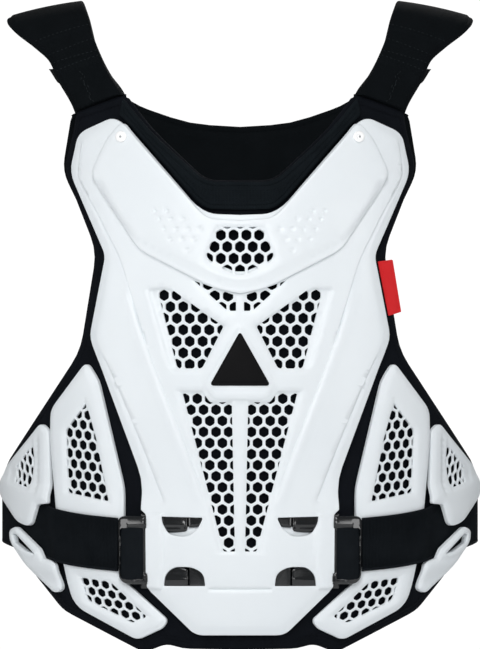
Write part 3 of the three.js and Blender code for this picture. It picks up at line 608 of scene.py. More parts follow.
@dataclass
class Plate:
    """A plate wrapped round the torso: an outline, its holes, its two faces and rounded rims."""

    name: str
    loop: Points
    low: Callable[[Points], Points]
    top: Callable[[Points], Points]
    holes: list[Points]
    guides: list[Guide]
    grid: float = 4 * MM
    edge: float = 0.45 * MM
    under_edge: float = 0
    half: Half = Half.FRONT
    sharp: float = 50

    def build(self) -> bpy.types.Object:
        """Makes the plate as one closed mesh.

        Returns:
            The plate's object, whose map holds its unrolled places in metres.
        """
        domain = offset_loop(self.loop, -self.edge)
        openings = [offset_loop(hole, self.edge) for hole in self.holes]
        flat = flat_mesh(domain, openings, self.guides, self.grid)
        top, low = self.top(flat.points), self.low(flat.points)
        low = np.minimum(low, top - self.edge - self.under_edge - 0.1 * MM)
        ends = np.unique(flat.rim)
        number = {end: k for k, end in enumerate(ends)}
        rim = np.array([(number[a], number[b]) for a, b in flat.rim])
        layers = [(flat.points, top), (flat.points, low)]
        for turn in (45, 90):
            out, drop = math.sin(math.radians(turn)), 1 - math.cos(math.radians(turn))
            moved = flat.points[ends] + flat.outwards[ends] * self.edge * out
            layers.append((moved, top[ends] - self.edge * drop))
        for turn in (90, 45) if self.under_edge else (90,):
            out, rise = math.sin(math.radians(turn)), 1 - math.cos(math.radians(turn))
            inwards = self.edge - self.under_edge * (1 - out)
            moved = flat.points[ends] + flat.outwards[ends] * inwards
            layers.append((moved, low[ends] + self.under_edge * rise))
        count = len(flat.points)
        starts = 2 * count + len(ends) * np.arange(len(layers) - 2)
        faces = [*flat.triangles.tolist(), *(flat.triangles[:, ::-1] + count).tolist()]
        rings = [flat.rim, *(rim + start for start in starts), flat.rim + count]
        for upper, lower in zip(rings, rings[1:]):
            faces += np.column_stack([upper[:, ::-1], lower]).tolist()
        unrolled = np.vstack([places for places, _ in layers])
        vertices = TORSO.place(unrolled, np.concatenate([lift for _, lift in layers]), self.half)
        if self.half is Half.BACK:
            faces = [face[::-1] for face in faces]
        used = np.unique(np.concatenate([np.ravel(face) for face in faces]))
        place = np.full(len(vertices), -1)
        place[used] = np.arange(len(used))
        faces = [[int(place[v]) for v in face] for face in faces]
        return mesh_object(self.name, vertices[used], faces, unrolled[used], self.sharp)


@dataclass(frozen=True)
class HexField:
    """A field of hexagonal holes: a centre and two steps of its pattern in the unrolled surface."""

    centre: Spot
    across: tuple[float, float] = (HEX_PITCH, 0)
    down: tuple[float, float] = (HEX_PITCH / 2, -HEX_PITCH * math.sin(math.pi / 3))
    width: float = 0.77
    corner: float = 0.16
    least_area: float = 2.2 * MM * MM

    def holes(self, window: Points, lift: float, side: Side = Side.LEFT) -> list[Points]:
        """The pattern's holes, cut off at the window's edge.

        Args:
            window: Loop that bounds the field.
            lift: The lift at which the centre's column is meant.
            side: The side of the front view that the window is on.

        Returns:
            One loop for each hole that is large enough to be moulded.
        """
        sign = 1 if side is Side.LEFT else -1
        start = TORSO.unroll(side.turned([self.centre]), lift)[0]
        basis = np.array([self.across, self.down]).T * np.array([[sign], [1]])
        regular = np.array([[1, 0.5], [0, -math.sin(math.pi / 3)]])
        shape = basis @ np.linalg.inv(regular)
        angles = (np.arange(6) + 0.5) * math.pi / 3
        corners = np.column_stack([np.cos(angles), np.sin(angles)]) / math.sqrt(3) * self.width
        before, after = np.roll(corners, 1, axis=0), np.roll(corners, -1, axis=0)
        cut = np.stack([corners + (before - corners) * self.corner,
                        corners + (after - corners) * self.corner])
        hexagon = cut.transpose(1, 0, 2).reshape(-1, 2) @ shape.T
        if sign < 0:
            hexagon = hexagon[::-1]
        reach = int(np.ptp(window, axis=0).max() / HEX_PITCH * 1.6) + 3
        holes = []
        for j in range(-reach, reach + 1):
            for i in range(-reach, reach + 1):
                at = start + basis @ np.array([i - j / 2 + (j % 2) / 2, j])
                if np.linalg.norm(window - at, axis=1).min() > HEX_PITCH and not inside(at[None],
                                                                                        window)[0]:
                    continue
                hole = clipped(window, hexagon + at)
                hole = without_short_edges(hole, 0.25 * MM) if len(hole) > 2 else hole
                if len(hole) > 2 and area_of(hole) > self.least_area:
                    holes.append(hole)
        return holes


Operand = "Value | float"


@dataclass(frozen=True)
class Value:
    """A shader socket that holds a number; its operators add Math nodes."""

    shader: "Shader"
    socket: bpy.types.NodeSocket

    def _math(self, operation: str, *operands: Operand) -> "Value":
        """Adds one Math node with the operands in their order."""
        inputs = {k: getattr(operand, "socket", operand) for k, operand in enumerate(operands)}
        node = self.shader.node("ShaderNodeMath", {"operation": operation}, inputs)
        return Value(self.shader, node.outputs[0])

    def __add__(self, other: Operand) -> "Value":
        """The sum."""
        return self._math("ADD", self, other)

    __radd__ = __add__

    def __rsub__(self, other: Operand) -> "Value":
        """A number less this value."""
        return self._math("SUBTRACT", other, self)

    def __mul__(self, other: Operand) -> "Value":
        """The product."""
        return self._math("MULTIPLY", self, other)

    __rmul__ = __mul__

    def __abs__(self) -> "Value":
        """The absolute value."""
        return self._math("ABSOLUTE", self)

    def wave(self, length: float) -> "Value":
        """A sine from -1 to 1 that repeats after a length of this value."""
        turned = self * (2 * math.pi / length)
        return self._math("SINE", turned)


class Shader:
    """The nodes of one material round a Principled shader."""

    def __init__(self, name: str, colour: tuple[float, float, float], **constants: float) -> None:
        """Starts a material with its even colour and the shader's constant sockets.

        Args:
            name: The material's name.
            colour: Linear base colour.
            constants: Values of the shader's sockets, with underscores for spaces.
        """
        self.material = bpy.data.materials.new(name)
        self.material.use_nodes = True
        self.tree = self.material.node_tree
        self.tree.nodes.clear()
        sockets = {key.replace("_", " "): value for key, value in constants.items()}
        self.surface = self.node("ShaderNodeBsdfPrincipled", {}, {"Base Color": (*colour, 1), **sockets})
        self.node("ShaderNodeOutputMaterial", {}, {"Surface": self.surface.outputs[0]})
        self.colour = colour

    def node(self, kind: str, settings: dict, inputs: dict) -> bpy.types.Node:
        """Adds a node.

        Args:
            kind: The node's type.
            settings: Its settings, which are set first.
            inputs: Values or output sockets for its inputs, by name or number.

        Returns:
            The node.
        """
        made = self.tree.nodes.new(kind)
        for key, value in settings.items():
            setattr(made, key, value)
        for key, value in inputs.items():
            if isinstance(value, bpy.types.NodeSocket):
                self.tree.links.new(value, made.inputs[key])
            else:
                made.inputs[key].default_value = value
        return made

    def along_surface(self) -> tuple[Value, Value]:
        """The two coordinates of the piece's own map, in metres."""
        source = self.node("ShaderNodeUVMap", {"uv_map": "unrolled"}, {})
        parts = self.node("ShaderNodeSeparateXYZ", {}, {0: source.outputs[0]})
        return Value(self, parts.outputs[0]), Value(self, parts.outputs[1])

    def noise(self, scale: float, detail: float = 2) -> Value:
        """Even noise on the object's coordinates, from 0 to 1."""
        place = self.node("ShaderNodeTexCoord", {}, {}).outputs["Object"]
        found = self.node("ShaderNodeTexNoise", {}, {"Vector": place, "Scale": scale, "Detail": detail})
        return Value(self, found.outputs[0])

    def tint(self, share: Value, other: tuple[float, float, float]) -> None:
        """Mixes the base colour towards another one by a share."""
        mix = self.node("ShaderNodeMix", {"data_type": "RGBA"}, {0: share.socket})
        mix.inputs[6].default_value = (*self.colour, 1)
        mix.inputs[7].default_value = (*other, 1)
        self.tree.links.new(mix.outputs[2], self.surface.inputs["Base Color"])

    def roughness(self, value: Value) -> None:
        """Lets the roughness vary."""
        self.tree.links.new(value.socket, self.surface.inputs["Roughness"])

    def bump(self, height: Value, distance: float, strength: float = 1) -> None:
        """Raises the surface by a height from 0 to 1 times a distance in metres."""
        inputs = {"Height": height.socket, "Distance": distance, "Strength": strength}
        bump = self.node("ShaderNodeBump", {}, inputs)
        self.tree.links.new(bump.outputs[0], self.surface.inputs["Normal"])


@dataclass(frozen=True)
class WhiteShell:
    """White moulded plastic with a satin face and a faint grain."""

    name: str = "white_shell"
    colour: tuple[float, float, float] = (0.79, 0.83, 0.855)
    deep: tuple[float, float, float] = (0.71, 0.765, 0.81)
    grain: float = 1400
    grain_height: float = 0.02 * MM
    grain_share: float = 0.25
    rough: float = 0.42
    coat: float = 0.08
    cloud_scale: float = 14
    cloud_tint: float = 0.5
    smoothest: float = 0.36
    cloud_roughness: float = 0.14

    def material(self) -> bpy.types.Material:
        """Builds the white plastic."""
        shader = Shader(self.name, self.colour, Roughness=self.rough, IOR=1.5, Coat_Weight=self.coat)
        cloud = shader.noise(self.cloud_scale, 3)
        shader.tint(cloud * self.cloud_tint, self.deep)
        shader.roughness(self.smoothest + cloud * self.cloud_roughness)
        shader.bump(shader.noise(self.grain, 1), self.grain_height, self.grain_share)
        return shader.material


@dataclass(frozen=True)
class Weave:
    """Woven cloth whose threads run along the piece's own map."""

    name: str
    colour: tuple[float, float, float]
    light: tuple[float, float, float]
    across: float
    along: float
    height: float
    rough: float = 0.86
    specular: float = 0.06
    wear_scale: float = 60
    wear_tint: float = 0.45
    wear_roughness: float = 0.12
    thread_tint: float = 0.35

    def material(self) -> bpy.types.Material:
        """Builds the cloth with a woven relief and slight wear."""
        shader = Shader(self.name, self.colour, Roughness=self.rough, Specular_IOR_Level=self.specular)
        u, v = shader.along_surface()
        threads = abs(u.wave(2 * self.across)) * abs(v.wave(2 * self.along))
        wear = shader.noise(self.wear_scale, 3)
        shader.tint(threads * self.thread_tint + wear * self.wear_tint, self.light)
        shader.roughness(self.rough - self.wear_roughness * wear)
        shader.bump(threads, self.height)
        return shader.material


@dataclass(frozen=True)
class GlossPlastic:
    """Dark moulded plastic with a gloss and a few soft moulding marks."""

    name: str
    colour: tuple[float, float, float]
    rough: float = 0.24
    specular: float = 0.3
    coat: float = 0.1
    coat_rough: float = 0.1
    mark_scale: float = 90
    mark_roughness: float = 0.1
    mark_tint: float = 0.3
    mark_light: float = 2.2
    mark_height: float = 0.05 * MM
    mark_share: float = 0.3

    def material(self) -> bpy.types.Material:
        """Builds the gloss plastic."""
        shader = Shader(self.name, self.colour, Roughness=self.rough, Specular_IOR_Level=self.specular,
                        Coat_Weight=self.coat, Coat_Roughness=self.coat_rough)
        marks = shader.noise(self.mark_scale, 2)
        shader.roughness(self.rough + self.mark_roughness * marks)
        shader.tint(marks * self.mark_tint, tuple(self.mark_light * channel for channel in self.colour))
        shader.bump(marks, self.mark_height, self.mark_share)
        return shader.material


class Finish(Enum):
    """The finishes: what each one covers, and the record's material slot that it belongs to."""

    WHITE = ("plates", "white_shell")
    LINER = ("liners", "liner_foam")
    COLLAR = ("collar", "collar_fabric")
    PAD = ("shoulder pads", "pad_fabric")
    THREAD = ("pad stitches", "pad_fabric")
    WEBBING = ("straps", "webbing")
    BUCKLE = ("buckles", "black_buckle")
    SLIDER = ("sliders", "black_buckle")
    BADGE = ("badge", "black_badge")
    RIVET = ("rivet heads", "rivet")
    PIN = ("rivet pins", "rivet")
    LABEL = ("label", "red_label")

    @property
    def slot(self) -> str:
        """The record's material slot."""
        return self.value[1]


FINISHES = {
    Finish.WHITE: WhiteShell(),
    Finish.LINER: Weave("liner_cloth", (0.002, 0.0027, 0.0038), (0.008, 0.010, 0.015), 0.5 * MM, 0.5 * MM,
                        0.1 * MM),
    Finish.COLLAR: Weave("collar_knit", (0.003, 0.0045, 0.006), (0.012, 0.017, 0.021), 1.1 * MM, 0.8 * MM,
                         0.3 * MM),
    Finish.PAD: Weave("pad_cloth", (0.0015, 0.0024, 0.003), (0.005, 0.007, 0.009), 0.45 * MM, 0.45 * MM,
                      0.08 * MM),
    Finish.WEBBING: Weave("webbing_weave", (0.003, 0.0045, 0.006), (0.013, 0.016, 0.020), 0.6 * MM,
                          0.9 * MM, 0.15 * MM),
    Finish.THREAD: Weave("thread", (0.013, 0.016, 0.018), (0.022, 0.026, 0.029), 0.4 * MM, 0.4 * MM,
                         0.05 * MM),
    Finish.BUCKLE: GlossPlastic("buckle_plastic", (0.002, 0.003, 0.004), 0.1, 0.8, 0.05),
    Finish.SLIDER: GlossPlastic("slider_plastic", (0.003, 0.004, 0.005), 0.45, 0.1, 0),
    Finish.BADGE: GlossPlastic("badge_plastic", (0.003, 0.003, 0.0035), 0.5, 0.08, 0),
    Finish.RIVET: WhiteShell("rivet_plastic", (0.97, 0.97, 0.97), (0.93, 0.94, 0.95), 900),
    Finish.PIN: GlossPlastic("rivet_pin", (0.3, 0.31, 0.32), 0.4),
    Finish.LABEL: Weave("label_weave", (0.62, 0.012, 0.018), (0.75, 0.05, 0.05), 0.35 * MM, 0.5 * MM,
                        0.06 * MM, 0.7),
}


class Workshop:
    """Dresses finished pieces: their material, the body they ride on and the node they stand for."""

    def __init__(self) -> None:
        """Builds each finish's material once."""
        self.materials = {finish: maker.material() for finish, maker in FINISHES.items()}

    def dress(self, piece: bpy.types.Object, finish: Finish, *nodes: str) -> bpy.types.Object:
        """Finishes a piece.

        Args:
            piece: The mesh object, in place.
            finish: The finish it takes.
            nodes: The CAD nodes that it stands for.

        Returns:
            The same piece.
        """
        if not piece.data.materials:
            piece.data.materials.append(self.materials[finish])
        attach(piece, "root")
        if nodes:
            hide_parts(*nodes)
        log.info("%s: %d faces", piece.name, len(piece.data.polygons))
        return piece


def level(lift: float) -> Callable[[Points], Points]:
    """A face at an even lift."""
    return lambda flat: np.full(len(flat), lift)


def face_with(base: Callable[[Points], Points], reliefs: Sequence[Relief]) -> Callable[[Points], Points]:
    """A face that carries reliefs.

    Args:
        base: The face's lift without them.
        reliefs: The forms on it.

    Returns:
        The lift of the face with every form added.
    """
    return lambda flat: base(flat) + sum(relief.height(flat) for relief in reliefs)


def guides_of(reliefs: Sequence[Relief]) -> list[Guide]:
    """The guides of several reliefs."""
    return [guide for relief in reliefs for guide in relief.guides()]


@dataclass(frozen=True)
class Window:
    """A pierced window: its sunk outline, the field of holes in it and their pattern."""

    sunk: tuple[Corner, ...]
    pierced: tuple[Corner, ...]
    field: HexField
    slope: float = 2.2 * MM
    depth: float = WINDOW_RECESS

    def of(self, side: Side, corners: Sequence[Corner]) -> Sequence[Corner]:
        """Corners on the wanted side."""
        return corners if side is Side.LEFT else mirrored(corners)[::-1]

    def relief(self, side: Side, lift: float) -> Sunk:
        """The window's recess."""
        return Sunk(outline(self.of(side, self.sunk), lift), self.depth, self.slope)

    def holes(self, side: Side, lift: float) -> list[Points]:
        """The window's holes."""
        window = outline(self.of(side, self.pierced), lift, 8 * MM)
        return self.field.holes(window, lift, side)


SHELL_EDGE = ON_LINER + SHELL_THICKNESS
SHELL_RIM_DROP = 1.7 * MM


@dataclass
class ChestShell:
    """The moulded chest shell with its sunk hexagon windows and the two buckle sockets."""

    rim: tuple[Corner, ...] = (
        (240, 216, 0), (211, 215, 10), (197, 207, 10), (128, 127, 7), (115, 118.5, 9),
        (80, 134, 10), (71, 173, 12), (107, 256, 7), (91.5, 337, 8), (143.3, 477, 12),
        (143.3, 508, 1), (148.7, 513, 1), (149, 526, 0.5), (147, 527, 0.5), (147.3, 570, 0.5),
        (149.4, 571, 0.5),
        (149.6, 584, 1), (152, 589, 2), (196, 632, 8), (240, 632, 0),
    )
    shoulder: tuple[Corner, ...] = (
        (240, 200, 0), (211, 199, 10), (188, 190, 10), (128, 120, 7), (115, 113, 9),
        (80, 134, 10), (71, 173, 12), (107, 256, 7), (91.5, 337, 8), (143, 477, 12),
        (143, 492, 1), (128, 508, 1), (128, 590, 1), (156, 593.5, 2), (196, 632, 8), (240, 632, 0),
    )
    grid: float = 3.6 * MM
    fold_fade: float = 7 * MM
    side_fold_depth: float = 1.3 * MM
    side_fold: tuple[Spot, ...] = (
        (84, 138), (80.5, 151), (77.5, 170), (79.5, 181), (97, 211), (109, 236), (117, 251), (123, 266),
        (132, 295), (139, 320), (147, 344),
    )
    flank_fold_depth: float = 1 * MM
    flank_fold_fade: float = 8 * MM
    flank_fold: tuple[Spot, ...] = (
        (101, 350), (105, 358), (116, 381), (127.5, 408), (140.5, 439), (154, 473), (165, 501), (167, 509),
    )
    ridge_height: float = 1 * MM
    ridge_width: float = 3 * MM
    ridge: tuple[Spot, ...] = (
        (123, 285), (130, 311), (144, 352), (158, 388), (174, 428), (187, 461), (197, 488), (203, 508),
    )
    ridge_fold_depth: float = 0.9 * MM
    ridge_fold: tuple[Spot, ...] = (
        (132, 300), (138, 320), (150, 355), (164, 391), (180, 431), (192, 462), (201, 487), (207, 507),
    )
    belly_groove_depth: float = 1.1 * MM
    belly_groove_width: float = 0.7 * MM
    belly_groove: tuple[Spot, ...] = ((207, 586.4), (224, 586.6), (256, 586.6), (273, 586.4))
    socket_slope: float = 1.1 * MM
    socket_bar: tuple[Corner, ...] = ((138, 511, 1), (163, 511, 2), (166, 549, 9), (163, 587, 2),
                                      (138, 587, 1))
    lip_depth: float = 2.6 * MM
    lip_slope: float = 0.8 * MM
    socket_lip: tuple[Corner, ...] = ((140, 526, 0.5), (146.9, 526, 0.5), (147.3, 571, 0.5),
                                      (140, 571, 0.5))
    sockets: tuple[tuple[Corner, ...], ...] = (
        ((162.3, 514.6, 0.7), (202.4, 515.6, 0.7), (202.6, 517.5, 1.5), (198, 527, 4), (189, 534.2, 6),
         (178, 534.4, 5), (168.5, 531.5, 5), (163.2, 522, 4)),
        ((164.3, 583.2, 1), (205.5, 583.2, 1), (204, 571, 8), (193, 564.4, 9), (174, 564.4, 6),
         (165.5, 572, 6)),
    )
    pad_rise: float = 1.2 * MM
    pad_slope: float = 1.6 * MM
    pad: tuple[Corner, ...] = (
        (240, 323, 9), (204, 383, 8), (212, 400, 12), (268, 400, 12), (276, 383, 8),
    )
    under_overlay: tuple[Corner, ...] = (
        (240, 231, 0), (217, 231, 6), (206, 257, 6), (211, 262, 3), (235, 272, 3), (240, 272, 0),
    )
    chest_window: Window = Window(
        ((146.5, 288.5, 1), (168, 287, 5), (227, 326, 4), (203.5, 370, 5), (170, 370, 7)),
        ((157, 290.5, 0), (172, 289.5, 0), (223.5, 326.5, 2), (202, 368, 3), (177, 368, 4)),
        HexField((189.4, 318.4), (9.37 * MM, 0), (4.685 * MM, -8.61 * MM)),
    )
    belly_window: Window = Window(
        ((177.5, 389.5, 3), (203, 389.5, 2), (211, 400, 4), (233.6, 400, 1), (236.5, 550, 1),
         (220, 551, 4)),
        ((182, 391.5, 0), (203, 391.5, 1), (210.5, 402, 3), (231.8, 401, 1), (235, 549, 1),
         (223.5, 549, 2)),
        HexField((203.3, 408.9), (8.97 * MM, 0), (4.485 * MM, -8.27 * MM)),
    )
    crescent_window: Window = Window(
        ((190, 280, 1), (237, 295, 1), (237, 313, 1), (226, 313, 3)),
        ((194, 281, 0), (236, 296, 0), (236, 311, 1), (227.5, 311, 3)),
        HexField((214.8, 296.3), (9.37 * MM, 0), (4.685 * MM, -8.61 * MM)),
        depth=0.8 * MM,
    )

    def build(self, workshop: Workshop) -> None:
        """Makes and dresses the shell.

        Args:
            workshop: Where it gets its finish.
        """
        loop = outline(both_halves(self.rim), SHELL_EDGE)
        reliefs: list[Relief] = [
            Shoulder(outline(both_halves(self.shoulder), SHELL_EDGE), SHELL_SHOULDER, SHELL_RIM_DROP),
            Sunk(outline(self.pad, SHELL_TOP), -self.pad_rise, self.pad_slope),
            Groove(curve_through(self.belly_groove, SHELL_TOP), self.belly_groove_depth,
                   self.belly_groove_width),
        ]
        holes = [outline(both_halves(self.under_overlay), SHELL_TOP)]
        for side in Side:
            lines = (self.side_fold, self.flank_fold, self.ridge, self.ridge_fold)
            side_line, flank, ridge, inner = (curve_through(side.turned(line), SHELL_TOP) for line in lines)
            bar, lip = (outline(side.turned(corners), SHELL_TOP) for corners in (self.socket_bar,
                                                                                 self.socket_lip))
            reliefs += [
                Fold(side_line, self.side_fold_depth, self.fold_fade, side.value),
                Fold(flank, self.flank_fold_depth, self.flank_fold_fade, side.value),
                Groove(ridge, -self.ridge_height, self.ridge_width),
                Fold(inner, self.ridge_fold_depth, self.fold_fade, -side.value),
                Sunk(bar, -SOCKET_RISE, self.socket_slope),
                Sunk(lip, self.lip_depth, self.lip_slope),
            ]
            for window in (self.chest_window, self.belly_window, self.crescent_window):
                reliefs.append(window.relief(side, SHELL_TOP))
                holes += window.holes(side, SHELL_TOP)
            holes += [outline(side.turned(corners), SHELL_TOP) for corners in self.sockets]
        top = face_with(level(SHELL_TOP), reliefs)
        shell = Plate("chest_shell_moulding", loop,
                      lambda flat: np.maximum(top(flat) - WINDOW_WALL, ON_LINER), top,
                      holes, guides_of(reliefs), grid=self.grid)
        workshop.dress(shell.build(), Finish.WHITE, "chest_shell")


@dataclass
class ChestOverlay:
    """The second layer on the upper chest, pierced in its middle and dimpled beside that."""

    rim: tuple[Corner, ...] = (
        (240, 221.5, 0), (206, 219, 10), (137, 141, 12), (122.5, 123, 6), (108, 138, 10),
        (92, 172, 10), (96, 187, 6), (138, 250, 10), (214, 289, 12), (240, 294, 0),
    )
    bevel: tuple[Spot, ...] = (
        (99, 176), (101, 190), (116, 212), (133, 235), (142, 243), (163, 253), (192, 268), (217, 281),
        (240, 285),
    )
    window: Window = Window(
        ((240, 225.5, 0), (215, 225.5, 4), (202, 258, 5), (208, 268, 5), (234, 279, 5), (240, 279, 0)),
        ((240, 228, 0), (217.5, 228, 1), (206, 256, 3), (211, 263.5, 3), (235, 275, 3), (240, 275, 0)),
        HexField((240, 247.6), (8.81 * MM, 0), (4.405 * MM, -8.76 * MM)),
        slope=2.6 * MM,
        depth=1.3 * MM,
    )
    dimple_rows: tuple[tuple[float, float, int], ...] = (
        (212, 156, 2), (220, 160, 3), (230, 165, 4), (240, 171, 3), (251, 188, 1),
    )
    dimple_step: float = 11.7
    dimple_sizes: tuple[float, float] = (1.3 * MM, 2.3 * MM)
    dimple_columns: tuple[float, float] = (156, 200)
    dimple_depth: float = 0.9 * MM
    bevel_depth: float = 1.8 * MM
    bevel_fade: float = 60 * MM
    bevel_width: float = 5 * MM
    rim_width: float = 2.2 * MM
    rim_drop: float = 0.5 * MM
    pierced_step: float = 8 * MM
    grid: float = 3.6 * MM
    edge: float = 0.7 * MM

    def top_of_shell(self, flat: Points) -> Points:
        """Lift of the shell's face under the overlay."""
        shoulder = Shoulder(outline(both_halves(ChestShell.shoulder), SHELL_EDGE), SHELL_SHOULDER,
                            SHELL_RIM_DROP)
        return SHELL_TOP + shoulder.height(flat)

    def build(self, workshop: Workshop) -> None:
        """Makes and dresses the overlay."""
        lift = SHELL_TOP
        drawn = lift + OVERLAY_THICKNESS + OVERLAY_RISE
        loop = outline(both_halves(self.rim), drawn)
        left = list(self.bevel)
        bevel = curve_through([*left, *mirrored(left[:-1])[::-1]], drawn)
        reliefs: list[Relief] = [
            Fold(bevel, self.bevel_depth, self.bevel_fade, -1, width=self.bevel_width, taper=0.03),
            Shoulder(loop, self.rim_width, self.rim_drop),
            Sunk(outline(both_halves(self.window.sunk), drawn), self.window.depth, self.window.slope),
        ]
        spots = [(column + k * self.dimple_step, row) for row, column,
                 count in self.dimple_rows for k in range(count)]
        sizes = np.interp([column for column, _ in spots], self.dimple_columns, self.dimple_sizes)
        for side in Side:
            reliefs.append(Dimples(TORSO.unroll(side.turned(spots), drawn), sizes, self.dimple_depth))
        pierced = outline(both_halves(self.window.pierced), drawn, self.pierced_step)
        holes = self.window.field.holes(pierced, drawn)
        top = face_with(level(lift + CLEARANCE + OVERLAY_THICKNESS + OVERLAY_RISE), reliefs)
        plate = Plate("chest_overlay_moulding", loop, lambda flat: self.top_of_shell(flat) + CLEARANCE, top,
                      holes, guides_of(reliefs), grid=self.grid, edge=self.edge)
        workshop.dress(plate.build(), Finish.WHITE, "chest_overlay")


# Angle round the torso in degrees, row of the middle, and how far it lies over the plates.
WEBBING_STATIONS = (
    (29.9, 542.5, 1), (38.5, 539.8, 1), (44.9, 536.6, 1), (48.6, 534, 1),
    (54.3, 529.6, 0), (64, 524, 0), (72.5, 520, 0), (81, 517, 0),
    (91, 515, 0), (101, 513.5, 0), (111, 512.5, 0), (120, 512, 0.35),
    (127, 511.5, 1), (134, 511, 1),
)
WEBBING_ANGLES, WEBBING_ROWS, WEBBING_OVERS = zip(*WEBBING_STATIONS)
WEBBING_SLACK = 0.85 * MM
WEBBING_LIFT_MARGIN = 5 * MM
WEBBING_LIFT_SPREAD = 12 * MM


def over_webbing(flat: Points) -> Points:
    """Lift of a plate that lies on the liner and over the webbing."""
    angle = np.degrees(np.abs(flat[:, 0]) / TORSO.radius)
    row = np.interp(angle, WEBBING_ANGLES, WEBBING_ROWS)
    away = np.abs(flat[:, 1] - (SEAT_ROW - row) * ROW) - WEBBING_WIDTH / 2
    share = 1 - (away - WEBBING_LIFT_MARGIN) / WEBBING_LIFT_SPREAD
    return ON_LINER + (WEBBING_THICKNESS + WEBBING_SLACK) * eased(share)


@dataclass(frozen=True)
class SidePlate:
    """A small moulded plate beside the shell, cushioned at its rim and often pierced."""

    node: str
    rim: tuple[Corner, ...]
    window: Window | None = None
    slot: tuple[Corner, ...] | None = None
    base: Callable[[Points], Points] = level(ON_LINER)
    shoulder: float = 5 * MM
    rise: float = PLATE_RISE
    folds: tuple[tuple[Spot, ...], ...] = ()
    grid: float = 2.6 * MM
    edge: float = 0.8 * MM
    slot_lip: float = 2.4 * MM
    slot_lip_height: float = 0.7 * MM
    slot_lip_width: float = 1.3 * MM
    fold_depth: float = 0.9 * MM
    fold_fade: float = 9 * MM
    fold_width: float = 1.2 * MM
    window_wall: float = 0.55

    def build(self, workshop: Workshop, side: Side) -> None:
        """Makes and dresses the plate.

        Args:
            workshop: Where it gets its finish.
            side: The side of the front view that it is on.
        """
        turned = side.turned
        loop = outline(turned(self.rim), PLATE_TOP, 2 * MM)
        reliefs: list[Relief] = [Shoulder(loop, self.shoulder, self.rise)]
        holes = []
        if self.window:
            reliefs.append(self.window.relief(side, PLATE_TOP))
            holes += self.window.holes(side, PLATE_TOP)
        if self.slot:
            slot = outline(turned(self.slot), PLATE_TOP, 1.5 * MM)
            holes.append(slot)
            lip = offset_loop(slot, self.slot_lip)
            reliefs.append(Groove(lip, -self.slot_lip_height, self.slot_lip_width, closed=True))
        for fold in self.folds:
            line = curve_through(turned(fold), PLATE_TOP, 1.5 * MM)
            reliefs.append(Fold(line, self.fold_depth, self.fold_fade, side.value, width=self.fold_width,
                                taper=0.2))
        top = face_with(lambda flat: self.base(flat) + PLATE_THICKNESS + self.rise, reliefs)

        def low(flat: Points) -> Points:
            """The underside, with thin walls in the window."""
            base = self.base(flat)
            if not self.window:
                return base
            sunk = reliefs[1].height(flat)
            return base + PLATE_THICKNESS * self.window_wall * np.clip(-sunk / self.window.depth, 0, 1)

        plate = Plate(f"{self.node}_moulding_{side.label}", loop, low, top, holes, guides_of(reliefs),
                      grid=self.grid, edge=self.edge)
        workshop.dress(plate.build(), Finish.WHITE, f"{self.node}_{side.label}")


SIDE_PLATES = (
    SidePlate(
        "side_plate",
        ((86, 361, 8), (98, 380, 6), (124, 487, 8), (124, 521, 2), (56, 514, 2), (49.5, 440, 6),
         (50, 409, 8)),
        Window(
            ((87, 394, 6), (62, 428, 5), (64, 495, 6), (113, 504, 5), (99, 436, 5)),
            ((86.7, 402, 3), (66, 429, 3), (68, 491.5, 3), (109, 500, 3), (96.5, 437, 3)),
            HexField((82.7, 444.1), (8.8 * MM, -1.1 * MM), (4.4 * MM, -8.14 * MM)),
            slope=4 * MM,
            depth=1.1 * MM,
        ),
    ),
    SidePlate(
        "wing_plate",
        ((40, 422, 6), (48, 430, 4), (50, 502.5, 2), (39.5, 503.5, 2), (33, 526, 7), (20, 522, 7),
         (0.8, 494, 8), (3.5, 467, 7)),
        Window(
            ((33, 434, 5), (9, 466, 5), (10, 484, 5), (31.5, 493.5, 4), (36, 460, 4)),
            ((32.6, 442, 2), (15, 467, 2), (16, 482, 2), (31.5, 488, 2), (33.5, 460, 2)),
            HexField((26, 468), (8.5 * MM, -2.27 * MM), (4.25 * MM, -8.53 * MM)),
            slope=3.5 * MM,
            depth=0.9 * MM,
        ),
        base=over_webbing,
        folds=(((38.5, 428), (38.5, 450), (38.5, 480), (38.5, 500)),),
    ),
    SidePlate(
        "strap_guide",
        ((12, 529, 3), (18.5, 525.5, 3), (42, 547.5, 2), (46, 557, 1), (57.5, 560.5, 4), (62.5, 588, 5),
         (54, 591.5, 4), (48, 585.5, 3), (34, 573, 8), (12.5, 541, 4)),
        slot=((16.5, 533.5, 1), (19.5, 533, 1), (38, 552.5, 1), (29.5, 550, 1), (18, 541.5, 1)),
        base=over_webbing,
        shoulder=3 * MM,
        grid=2 * MM,
    ),
    SidePlate(
        "hip_plate",
        ((62, 557, 2), (119, 565, 2), (124, 578, 5), (168, 617, 5), (163, 625, 4), (137, 637, 6),
         (80, 607, 8), (72, 597, 5), (67, 580, 5)),
        Window(
            ((77, 571, 5), (113, 576, 5), (153, 614, 5), (134, 624, 5), (83, 600, 6)),
            ((81, 575.5, 3), (110.5, 579.5, 3), (147, 614, 3), (133, 620, 3), (88, 598, 4)),
            HexField((101.5, 590.5), (8.7 * MM, -1.2 * MM), (5.5 * MM, -7.3 * MM), width=0.75),
            slope=3.5 * MM,
            depth=1 * MM,
        ),
    ),
)


